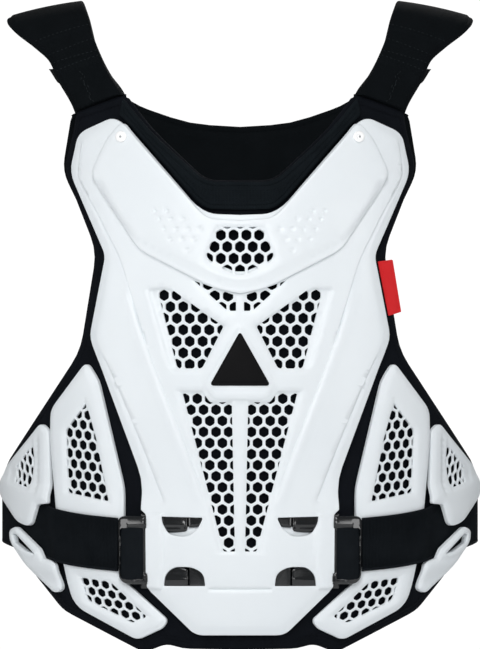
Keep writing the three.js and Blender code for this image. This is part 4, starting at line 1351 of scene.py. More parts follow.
@dataclass
class Badge:
    """The plain black triangle on the chest and the rivets at the overlay's shoulders."""

    corners: tuple[Corner, ...] = ((240, 331, 4.5), (210, 385, 5), (270, 385, 5))
    thickness: float = 1.6 * MM
    rivet_spot: Spot = (121, 138)
    rivet_radius: float = 4.2 * MM
    rivet_height: float = 1.8 * MM
    pin_radius: float = 0.9 * MM

    def build(self, workshop: Workshop) -> None:
        """Makes the badge and both rivets."""
        low = SHELL_TOP + CLEARANCE
        loop = outline(self.corners, SHELL_TOP, 2 * MM)
        rim = Groove(offset_loop(loop, -1.6 * MM), 0.25 * MM, 0.4 * MM, closed=True)
        plate = Plate("badge_face", loop, level(low), face_with(level(low + self.thickness), [rim]), [],
                      rim.guides(), grid=3 * MM, edge=0.4 * MM)
        workshop.dress(plate.build(), Finish.BADGE, "badge_plate")
        for side in Side:
            self.rivet(workshop, side)

    def rivet(self, workshop: Workshop, side: Side) -> None:
        """Makes a domed rivet with a small pin in its middle."""
        seat = SHELL_TOP + OVERLAY_THICKNESS + OVERLAY_RISE + CLEARANCE
        centre = TORSO.unroll(side.turned([self.rivet_spot]), seat + self.rivet_height)[0]
        turn = np.linspace(0, 2 * np.pi, 33)[:-1]
        ring = np.column_stack([np.cos(turn), np.sin(turn)])

        def dome(flat: Points) -> Points:
            """A shallow dome with a sunk ring round the pin."""
            share = np.linalg.norm(flat - centre, axis=1) / self.rivet_radius
            ring_dent = np.exp(-(((share - 0.34) / 0.1) ** 2))
            crown = 0.45 + 0.45 * np.sqrt(np.maximum(0, 1 - share**2))
            return seat + self.rivet_height * (crown - 0.3 * ring_dent)

        sizes = (0.12, 0.22, 0.3, 0.34, 0.4, 0.5, 0.62, 0.74, 0.86)
        guides = [Guide(centre + self.rivet_radius * size * ring) for size in sizes]
        head = Plate(f"rivet_head_{side.label}", centre + self.rivet_radius * ring, level(seat), dome, [],
                     [Guide(centre[None]), *guides], grid=4 * MM, edge=0.5 * MM)
        workshop.dress(head.build(), Finish.RIVET, f"rivet_{side.label}")
        pin_top = seat + 0.95 * self.rivet_height

        def pin_crown(flat: Points) -> Points:
            """The pin's slightly rounded end."""
            return pin_top - 0.2 * MM * (np.linalg.norm(flat - centre, axis=1) / self.pin_radius) ** 2

        pin = Plate(f"rivet_pin_{side.label}", centre + self.pin_radius * ring, level(pin_top - 0.6 * MM),
                    pin_crown, [], [Guide(centre[None])], grid=1 * MM, edge=0.2 * MM)
        workshop.dress(pin.build(), Finish.PIN)


@dataclass
class BackShell:
    """The back shell, plainly finished: a rim, a raised spine and two folds."""

    rim: tuple[Corner, ...] = (
        (240, 140, 0), (186, 136, 20), (130, 116, 10), (92, 132, 10), (78, 172, 14), (106, 252, 24),
        (94, 380, 30), (58, 462, 16), (58, 548, 14), (88, 580, 12), (156, 602, 24), (240, 608, 0),
    )
    fold: tuple[Spot, ...] = ((110, 150), (116, 200), (134, 256), (126, 380), (108, 470), (124, 556))
    fold_depth: float = 0.8 * MM
    fold_fade: float = 10 * MM
    spine: tuple[Spot, ...] = ((240, 170), (240, 300), (240, 430), (240, 580))
    spine_height: float = 0.9 * MM
    spine_width: float = 9 * MM
    rim_drop: float = 0.9 * MM
    gap: float = 0.8 * MM
    grid: float = 6 * MM
    edge: float = 0.7 * MM

    def build(self, workshop: Workshop) -> None:
        """Makes and dresses the back shell."""
        base = BACK_LINER_THICKNESS + self.gap
        loop = outline(both_halves(self.rim), BACK_LINER_THICKNESS)
        reliefs: list[Relief] = [
            Shoulder(loop, SHELL_SHOULDER, self.rim_drop),
            Groove(curve_through(self.spine, base), -self.spine_height, self.spine_width, taper=0.12),
        ]
        for side in Side:
            line = curve_through(side.turned(self.fold), base, 3 * MM)
            reliefs.append(Fold(line, self.fold_depth, self.fold_fade, side.value))
        plate = Plate("back_shell_moulding", loop, level(base),
                      face_with(level(base + SHELL_THICKNESS), reliefs),
                      [], guides_of(reliefs), grid=self.grid, edge=self.edge, half=Half.BACK)
        workshop.dress(plate.build(), Finish.WHITE, "back_shell")


LINER_HALF = (
    (240, 181.5, 0), (206, 181.5, 12), (150, 130, 20), (123.5, 95, 1.5), (74.5, 111.5, 1.5), (72, 132, 12),
    (62, 169, 12), (95, 252, 16), (79, 350, 16), (2.5, 465, 8), (1.5, 492, 16), (10, 541, 8), (30, 570, 10),
    (62, 609, 8), (143, 649.5, 7), (166, 640.5, 8), (182, 645.5, 8), (240, 646.5, 0),
)
COLLAR_HALF = (
    (240, 183, 0), (206.5, 183, 12), (150.5, 132, 20), (124.5, 99, 2), (121, 116, 3), (129, 124, 5),
    (197, 202.5, 10), (208, 210.5, 10), (240, 211, 0),
)
BACK_LINER_HALF = (
    (240, 125.5, 0), (190, 122.5, 20), (140, 105, 20), (123, 94, 1.5), (75, 113, 1.5), (66, 170, 14),
    (104, 252, 30), (86, 380, 40), (34, 460, 20), (34, 560, 16), (70, 596, 14), (150, 622, 30),
    (240, 628, 0),
)


class Shape(Enum):
    """What is repeated along a line."""

    STITCH = "short round stitch"
    RIB = "long round rib"


@dataclass(frozen=True)
class Line3:
    """A line in the frame, with the direction that repeats on it face."""

    points: Points
    facing: Points


@dataclass(frozen=True)
class Repeats:
    """Stitches or ribs that Geometry Nodes repeat along lines."""

    shape: Shape
    size: tuple[float, float, float]
    spacing: float
    seed: int = 4
    unevenness: float = 0.08

    def tree(self) -> bpy.types.NodeTree:
        """Builds the node tree with its named inputs."""
        tree = bpy.data.node_groups.new("repeats", "GeometryNodeTree")
        kinds = (("Lines", "Geometry"), ("Spacing", "Float"), ("Size", "Vector"), ("Seed", "Int"),
                 ("Finish", "Material"))
        for label, kind in kinds:
            tree.interface.new_socket(label, in_out="INPUT", socket_type=f"NodeSocket{kind}")
        tree.interface.new_socket("Repeats", in_out="OUTPUT", socket_type="NodeSocketGeometry")

        def add(kind: str, settings: dict, **links: bpy.types.NodeSocket | float) -> bpy.types.Node:
            """Adds a node, and links or sets its inputs by name."""
            node = tree.nodes.new(kind)
            for key, value in settings.items():
                setattr(node, key, value)
            for key, value in links.items():
                socket = node.inputs[int(key[1:]) if key[1:].isdigit() else key.replace("_", " ")]
                if isinstance(value, bpy.types.NodeSocket):
                    tree.links.new(value, socket)
                else:
                    socket.default_value = value
            return node

        given = add("NodeGroupInput", {}).outputs
        curve = add("GeometryNodeMeshToCurve", {}, Mesh=given["Lines"])
        even = add("GeometryNodeResampleCurve", {"mode": "LENGTH"}, Curve=curve.outputs[0],
                   Length=given["Spacing"])
        facing = add("GeometryNodeInputNamedAttribute", {"data_type": "FLOAT_VECTOR"}, Name="facing")
        tangent = add("GeometryNodeInputTangent", {})
        turn = add("FunctionNodeAxesToRotation", {"primary_axis": "Z", "secondary_axis": "X"},
                   i0=facing.outputs[0], i1=tangent.outputs[0])
        if self.shape is Shape.STITCH:
            block = add("GeometryNodeMeshUVSphere", {}, Segments=8, Rings=5, Radius=0.5)
        else:
            block = add("GeometryNodeMeshCylinder", {}, Vertices=8, Radius=0.5, Depth=1.0)
        smooth = add("GeometryNodeSetShadeSmooth", {}, i0=block.outputs[0])
        uneven = add("FunctionNodeRandomValue", {"data_type": "FLOAT"}, i2=1 - self.unevenness,
                     i3=1 + self.unevenness, Seed=given["Seed"])
        scale = add("ShaderNodeVectorMath", {"operation": "SCALE"}, i0=given["Size"],
                    Scale=uneven.outputs[1])
        spread = add("GeometryNodeInstanceOnPoints", {}, Points=even.outputs[0], Instance=smooth.outputs[0],
                     Rotation=turn.outputs[0], Scale=scale.outputs[0])
        real = add("GeometryNodeRealizeInstances", {}, i0=spread.outputs[0])
        dressed = add("GeometryNodeSetMaterial", {}, Geometry=real.outputs[0], Material=given["Finish"])
        add("NodeGroupOutput", {}, i0=dressed.outputs[0])
        return tree

    def build(self, name: str, lines: Sequence[Line3], material: bpy.types.Material) -> bpy.types.Object:
        """Repeats the shape along lines.

        Args:
            name: The piece's name.
            lines: The lines that carry the repeats.
            material: The finish of the repeats.

        Returns:
            The repeats as one plain mesh object.
        """
        mesh = bpy.data.meshes.new(f"{name}_lines")
        edges, first = [], 0
        for line in lines:
            edges += [(first + k, first + k + 1) for k in range(len(line.points) - 1)]
            first += len(line.points)
        mesh.from_pydata(np.vstack([line.points for line in lines]).tolist(), edges, [])
        facing = mesh.attributes.new("facing", "FLOAT_VECTOR", "POINT")
        facing.data.foreach_set("vector",
                                np.vstack([line.facing for line in lines]).astype(np.float32).ravel())
        carrier = bpy.data.objects.new(f"{name}_carrier", mesh)
        bpy.context.scene.collection.objects.link(carrier)
        modifier = carrier.modifiers.new("repeats", "NODES")
        modifier.node_group = self.tree()
        values = {"Spacing": self.spacing, "Size": self.size, "Seed": self.seed, "Finish": material}
        for item in modifier.node_group.interface.items_tree:
            if item.in_out == "INPUT" and item.name in values:
                modifier[item.identifier] = values[item.name]
        graph = bpy.context.evaluated_depsgraph_get()
        made = bpy.data.meshes.new_from_object(carrier.evaluated_get(graph))
        made.name = name
        piece = bpy.data.objects.new(name, made)
        bpy.context.scene.collection.objects.link(piece)
        bpy.data.objects.remove(carrier)
        return piece


STITCHES = Repeats(Shape.STITCH, (2.3 * MM, 0.6 * MM, 0.5 * MM), 3.1 * MM)
WEBBING_RIBS = Repeats(Shape.RIB, (0.9 * MM, 0.5 * MM, WEBBING_WIDTH - 3 * MM), 1.25 * MM, unevenness=0)


def on_plate(path: Points, lift: float, half: Half = Half.FRONT) -> Line3:
    """A line of the unrolled surface as a line in the frame that faces away from the body."""
    lifts = np.full(len(path), lift)
    points = TORSO.place(path, lifts, half)
    facing = TORSO.place(path, lifts + 1 * MM, half) - points
    return Line3(points, facing / np.linalg.norm(facing, axis=1, keepdims=True))


@dataclass
class FrontLiner:
    """The padded front liner with its bound edge, its seam and the piping of its shoulder tabs."""

    edge_width: float = 6 * MM
    edge_drop: float = 2.1 * MM
    seam_inset: float = 4.6 * MM
    stitch_inset: float = 2.6 * MM
    seam_depth: float = 0.7 * MM
    seam_width: float = 0.8 * MM
    tab_depth: float = 0.9 * MM
    tab_seam: tuple[Spot, ...] = ((76, 120), (98, 112.5), (122, 103.5))
    grid: float = 5.5 * MM
    edge: float = 2 * MM
    under_edge: float = 1.4 * MM

    def build(self, workshop: Workshop) -> None:
        """Makes and dresses the liner."""
        loop = outline(both_halves(LINER_HALF), LINER_THICKNESS, 4 * MM)
        seam = clean_inset(loop, self.seam_inset)
        reliefs: list[Relief] = [
            Shoulder(loop, self.edge_width, self.edge_drop),
            Groove(seam, self.seam_depth, self.seam_width, closed=True),
        ]
        for side in Side:
            tab = curve_through(side.turned(self.tab_seam), LINER_THICKNESS)
            reliefs.append(Groove(tab, self.tab_depth, self.seam_width))
        top = face_with(level(LINER_THICKNESS), reliefs)
        plate = Plate("front_liner_pad", loop, level(0), top, [], guides_of(reliefs), grid=self.grid,
                      edge=self.edge, under_edge=self.under_edge)
        piece = workshop.dress(plate.build(), Finish.LINER, "front_liner")
        line = clean_inset(loop, self.seam_inset + self.stitch_inset)
        stitches = STITCHES.build("front_liner_stitches", [on_plate(line, LINER_THICKNESS)],
                                  workshop.materials[Finish.LINER])
        workshop.dress(stitches, Finish.LINER)


@dataclass
class NeckCollar:
    """The padded band round the front of the neck, piped along both edges."""

    roll: float = 3.4 * MM
    piping_width: float = 1.8 * MM
    piping_drop: float = 0.8 * MM
    seam_depth: float = 1.0 * MM
    seam_width: float = 0.7 * MM
    inner_seam_depth: float = 0.35 * MM
    inner_seam_width: float = 0.5 * MM
    knit_rows: tuple[float, ...] = (3.4 * MM, 5 * MM, 6.6 * MM)
    knit_sink: float = 0.1 * MM
    shortest_row: int = 20
    grid: float = 3 * MM
    edge: float = 0.8 * MM
    under_edge: float = 0.4 * MM

    def build(self, workshop: Workshop) -> None:
        """Makes and dresses the band."""
        lift = ON_LINER + COLLAR_THICKNESS
        loop = outline(both_halves(COLLAR_HALF), LINER_THICKNESS, 2.6 * MM)
        seam = clean_inset(loop, self.roll)
        inner_seam = clean_inset(loop, self.roll + self.piping_width)
        reliefs: list[Relief] = [
            Shoulder(loop, self.piping_width, self.piping_drop),
            Groove(seam, self.seam_depth, self.seam_width, closed=True),
            Groove(inner_seam, self.inner_seam_depth, self.inner_seam_width, closed=True),
        ]
        plate = Plate("neck_collar_band", loop, level(ON_LINER), face_with(level(lift), reliefs), [],
                      guides_of(reliefs), grid=self.grid, edge=self.edge, under_edge=self.under_edge)
        piece = workshop.dress(plate.build(), Finish.COLLAR, "neck_collar")
        rows = [clean_inset(loop, self.roll + inset) for inset in self.knit_rows]
        lines = [on_plate(row, lift - self.knit_sink) for row in rows if len(row) > self.shortest_row]
        knit = Repeats(Shape.STITCH, (1.5 * MM, 1.1 * MM, 0.7 * MM), 2.6 * MM)
        workshop.dress(knit.build("neck_collar_knit", lines, workshop.materials[Finish.COLLAR]),
                       Finish.COLLAR)


@dataclass
class BackLiner:
    """The padded back liner, whose inner face shows inside the neck."""

    seam_inset: float = 5 * MM
    seam_depth: float = 0.6 * MM
    seam_width: float = 0.8 * MM
    rim_width: float = 6 * MM
    rim_drop: float = 1.5 * MM
    grid: float = 6 * MM
    edge: float = 2.2 * MM
    under_edge: float = 2 * MM

    def build(self, workshop: Workshop) -> None:
        """Makes and dresses the liner."""
        loop = outline(both_halves(BACK_LINER_HALF), 0, 4 * MM)
        seam = Groove(clean_inset(loop, self.seam_inset), self.seam_depth, self.seam_width, closed=True)
        rim = Shoulder(loop, self.rim_width, self.rim_drop)
        top = face_with(level(BACK_LINER_THICKNESS), [rim, seam])
        plate = Plate("back_liner_pad", loop, lambda flat: -seam.height(flat), top, [],
                      guides_of([rim, seam]), grid=self.grid, edge=self.edge, under_edge=self.under_edge,
                      half=Half.BACK)
        piece = plate.build()
        piece.data.materials.append(workshop.materials[Finish.PAD])
        workshop.dress(piece, Finish.LINER, "back_liner")


@dataclass
class SideLabel:
    """The plain red woven label on the liner's side, sewn on all round."""

    corners: tuple[Corner, ...] = ((376.5, 262, 1), (391, 260, 1), (399.5, 312, 1), (387, 316, 1))
    thickness: float = 0.9 * MM
    seam_inset: float = 1.5 * MM
    seam_depth: float = 0.2 * MM
    seam_width: float = 0.4 * MM
    stitch_sink: float = 0.1 * MM
    grid: float = 2 * MM
    edge: float = 0.3 * MM

    def build(self, workshop: Workshop) -> None:
        """Makes and dresses the label."""
        loop = outline(self.corners, ON_LINER, 1.5 * MM)
        seam = clean_inset(loop, self.seam_inset)
        reliefs = [Groove(seam, self.seam_depth, self.seam_width, closed=True)]
        plate = Plate("side_label_cloth", loop, level(ON_LINER),
                      face_with(level(ON_LINER + self.thickness), reliefs),
                      [], guides_of(reliefs), grid=self.grid, edge=self.edge)
        piece = workshop.dress(plate.build(), Finish.LABEL, "side_label")
        spots = TORSO.unroll(self.corners, ON_LINER)
        area_of(loop)
        closed = np.vstack([seam, seam[:1]])
        small = Repeats(Shape.STITCH, (1.6 * MM, 0.4 * MM, 0.4 * MM), 2.2 * MM)
        line = on_plate(closed, ON_LINER + self.thickness - self.stitch_sink)
        stitches = small.build("side_label_stitches", [line], workshop.materials[Finish.LABEL])
        workshop.dress(stitches, Finish.LABEL)


@dataclass
class WaistWebbing:
    """The elastic webbing from the buckle round to the back shell, ribbed across its run."""

    step: float = 1.0
    smoothing: int = 12
    rib_seat: float = 0.82
    section: tuple[tuple[float, float], ...] = (
        (-0.5, 0.5), (-0.495, 0.85), (-0.48, 1), (-0.455, 0.98), (-0.44, 0.78), (-0.42, 0.8), (-0.2, 0.8),
        (0, 0.8), (0.2, 0.8), (0.42, 0.8), (0.44, 0.78), (0.455, 0.98), (0.48, 1), (0.495, 0.85),
        (0.5, 0.5),
        (0.495, 0.15), (0.48, 0), (0.2, 0), (-0.2, 0), (-0.48, 0), (-0.495, 0.15),
    )

    def run(self, side: Side) -> tuple[Points, Points]:
        """The strap's middle in the unrolled surface and the lift of its underside."""
        angles = np.arange(WEBBING_ANGLES[0], WEBBING_ANGLES[-1] + 0.01, self.step)
        rows = np.interp(angles, WEBBING_ANGLES, WEBBING_ROWS)
        overs = np.interp(angles, WEBBING_ANGLES, WEBBING_OVERS)
        for _ in range(self.smoothing):
            rows[1:-1] = (rows[:-2] + 2 * rows[1:-1] + rows[2:]) / 4
        overs = eased(overs)
        arc = side.value * np.radians(angles) * TORSO.radius
        flat = np.column_stack([arc, (SEAT_ROW - rows) * ROW])
        return flat, ON_LINER + (OVER_PLATE - ON_LINER) * overs

    def build(self, workshop: Workshop, side: Side) -> None:
        """Makes and dresses the strap and its ribs."""
        flat, low = self.run(side)
        count = len(self.section)
        places, lifts = [], []
        for share, height in self.section:
            places.append(flat + np.array([0, share * WEBBING_WIDTH]))
            lifts.append(low + height * WEBBING_THICKNESS)
        unrolled = np.stack(places, axis=1).reshape(-1, 2)
        vertices = TORSO.place(unrolled, np.stack(lifts, axis=1).ravel())
        faces = []
        for ring in range(len(flat) - 1):
            for k in range(count):
                a, b = ring * count + k, ring * count + (k + 1) % count
                faces.append((a, b, b + count, a + count))
        last = (len(flat) - 1) * count
        faces += [tuple(range(count))[::-1], tuple(range(last, last + count))]
        if side is Side.RIGHT:
            faces = [face[::-1] for face in faces]
        name = f"waist_webbing_{side.label}"
        piece = mesh_object(f"{name}_strap", vertices, faces, unrolled, 60)
        workshop.dress(piece, Finish.WEBBING, name)
        points = TORSO.place(flat, low + self.rib_seat * WEBBING_THICKNESS)
        line = Line3(points, np.tile([0.0, 0.0, 1.0], (len(points), 1)))
        ribs = WEBBING_RIBS.build(f"{name}_ribs", [line], workshop.materials[Finish.WEBBING])
        workshop.dress(ribs, Finish.WEBBING)


@dataclass
class Buckle:
    """The closed side-release buckle: its frame, the web loop on its bar and its two prongs."""

    frame: tuple[Corner, ...] = (
        (117.8, 514.2, 7), (146, 514, 1), (146.3, 525.5, 0.5), (144.3, 526, 0.5), (144.8, 570.5, 0.5),
        (147.3, 571, 0.5), (147.6, 581.6, 1), (118.6, 581.6, 12),
    )
    seat: tuple[Corner, ...] = ((120.5, 526, 3), (143.6, 526, 1), (143.9, 576.5, 1), (120.5, 576.5, 5))
    web: tuple[Corner, ...] = ((120.8, 525.5, 2), (143.2, 525.5, 1), (143.4, 577.2, 1), (121.2, 577.2, 3))
    bar_lines: tuple[tuple[Spot, ...], ...] = (((127, 521.8), (136, 521.8), (146, 521.8)),
                                               ((131, 580.2), (138, 580.4), (147, 580.6)))
    prongs: tuple[tuple[Corner, ...], ...] = (
        ((141, 511.5, 1), (187.2, 511.5, 1), (187.4, 529, 3), (176, 530.5, 5), (141, 529, 1)),
        ((141, 564.5, 1), (180, 563.5, 2), (188.3, 566, 3), (188.3, 586, 1), (141, 586, 1)),
    )
    tips: tuple[tuple[Corner, ...], ...] = (
        ((188.2, 512, 1), (205, 512, 1), (201, 524.5, 4), (188.6, 525.5, 2)),
        ((189.3, 563.5, 2), (199, 563.5, 3), (206.5, 574, 5), (207, 586, 1), (189.3, 586, 1)),
    )
    prong_lines: tuple[tuple[Spot, ...], ...] = (((150, 522.2), (168, 522.2), (185.5, 522.4)),
                                                 ((150, 577.8), (168, 577.6), (187.6, 577)))
    prong_top: float = 10.7 * MM
    floor: tuple[Corner, ...] = ((158, 527, 1), (205, 523, 1), (205, 536, 1), (158, 536, 1))
    floor_gap: float = 0.1 * MM
    floor_top: float = 1.9 * MM
    ramp: tuple[Spot, Spot] = ((124, 500), (133, 500))
    rim_width: float = 2 * MM
    rim_drop: float = 1.3 * MM
    seat_depth: float = 2.4 * MM
    seat_slope: float = 1 * MM
    line_height: float = 0.5 * MM
    line_width: float = 1 * MM
    prong_line_height: float = 0.55 * MM
    prong_line_width: float = 0.75 * MM
    bar_shoulder: float = 1.6 * MM
    bar_drop: float = 0.7 * MM
    grid: float = 2.4 * MM
    edge: float = 0.9 * MM
    bar_edge: float = 0.6 * MM

    def build(self, workshop: Workshop, side: Side) -> None:
        """Makes and dresses the buckle's pieces."""
        turned = side.turned
        name = f"buckle_{side.label}"
        top = BUCKLE_TOP - 0.5 * MM
        loop = outline(turned(self.frame), BUCKLE_TOP, 1.2 * MM)
        reliefs: list[Relief] = [
            Shoulder(loop, self.rim_width, self.rim_drop),
            Sunk(outline(turned(self.seat), BUCKLE_TOP, 1.5 * MM), self.seat_depth, self.seat_slope),
        ]
        for spots in self.bar_lines:
            line = curve_through(turned(spots), BUCKLE_TOP, 1 * MM)
            reliefs.append(Groove(line, -self.line_height, self.line_width, taper=0.1))
        ramp = TORSO.unroll(self.ramp, BUCKLE_TOP)[:, 0]
        shares = (-ramp[0], -ramp[1])

        def under(flat: Points) -> Points:
            """Over the webbing on the outside, and down to the liner towards the shell."""
            share = (np.abs(flat[:, 0]) - shares[1]) / (shares[0] - shares[1])
            return ON_LINER + (OVER_PLATE - ON_LINER) * np.clip(share, 0, 1)

        frame_plate = Plate(f"{name}_frame", loop, under, face_with(level(top), reliefs), [],
                            guides_of(reliefs), grid=self.grid, edge=self.edge)
        workshop.dress(frame_plate.build(), Finish.BUCKLE, name)
        self.web_loop(workshop, side, turned(self.web), top)
        for which, (prong, tip, spots) in enumerate(zip(self.prongs, self.tips, self.prong_lines)):
            line = curve_through(turned(spots), BUCKLE_TOP, 1 * MM)
            ridge = [Groove(line, -self.prong_line_height, self.prong_line_width, taper=0.04)]
            body, end = (outline(turned(corners), self.prong_top, 1.5 * MM) for corners in (prong, tip))
            self.bar(workshop, f"{name}_prong_{which}", body, ridge)
            self.bar(workshop, f"{name}_tip_{which}", end, [])
        floor = outline(turned(self.floor), self.prong_top, 2 * MM)
        top = face_with(level(ON_LINER + self.floor_top), [Shoulder(floor, 3 * MM, 0.8 * MM)])
        cup = Plate(f"socket_floor_{side.label}", floor, level(ON_LINER + self.floor_gap), top, [], [],
                    grid=2 * MM, edge=0.5 * MM)
        workshop.dress(cup.build(), Finish.WHITE)

    def bar(self, workshop: Workshop, name: str, loop: Points, ridge: list[Relief]) -> None:
        """Makes one bar of the catch."""
        reliefs = [Shoulder(loop, self.bar_shoulder, self.bar_drop), *ridge]
        plate = Plate(name, loop, level(ON_LINER + self.floor_gap),
                      face_with(level(self.prong_top - 0.5 * MM), reliefs),
                      [], guides_of(reliefs), grid=self.grid, edge=self.bar_edge)
        workshop.dress(plate.build(), Finish.BUCKLE)

    def web_loop(self, workshop: Workshop, side: Side, corners: Sequence[Corner], top: float) -> None:
        """Makes the webbing's loop round the frame's bar."""
        loop = outline(corners, BUCKLE_TOP, 1.5 * MM)
        middle, half = (loop[:, 0].max() + loop[:, 0].min()) / 2, np.ptp(loop[:, 0]) / 2

        def crown(flat: Points) -> Points:
            """Round over the bar."""
            share = np.clip((flat[:, 0] - middle) / half, -1, 1)
            return top - 2.2 * MM + 2.5 * MM * np.sqrt(1 - 0.92 * share**2)

        columns = np.linspace(middle - 0.96 * half, middle + 0.96 * half, 15)
        rows = np.linspace(loop[:, 1].min(), loop[:, 1].max(), 25)
        grid_points = np.array([(x, z) for x in columns for z in rows])
        plate = Plate(f"buckle_{side.label}_web_loop", loop, level(top - 3 * MM), crown, [],
                      [Guide(grid_points)], grid=3 * MM, edge=0.3 * MM)
        workshop.dress(plate.build(), Finish.WEBBING)


def spline(knots: Points, share: Points) -> Points:
    """Points on the centripetal curve through knots, as the CAD model's pads follow it."""
    last = len(knots) - 1
    ends = np.vstack([2 * knots[0] - knots[1], knots, 2 * knots[-1] - knots[-2]])
    at = np.clip(share, 0, 1) * last
    i = np.minimum(at.astype(int), last - 1)
    t = (at - i)[:, None]
    p0, p1, p2, p3 = (ends[i + k] for k in range(4))
    steps = ((p0, p1), (p1, p2), (p2, p3))
    d0, d1, d2 = (np.sqrt(np.linalg.norm(b - a, axis=1, keepdims=True)) for a, b in steps)
    into = ((p1 - p0) / d0 - (p2 - p0) / (d0 + d1) + (p2 - p1) / d1) * d1
    out = ((p2 - p1) / d1 - (p3 - p1) / (d1 + d2) + (p3 - p2) / d2) * d1
    ends_part = (2 * t**3 - 3 * t**2 + 1) * p1 + (3 * t**2 - 2 * t**3) * p2
    return ends_part + (t**3 - 2 * t**2 + t) * into + (t**3 - t**2) * out


@dataclass(frozen=True)
class Seam:
    """A seam across the pad: the rows where it meets the two edges, and its form."""

    outer_row: float
    inner_row: float
    step: float
    fade: float = 9 * MM


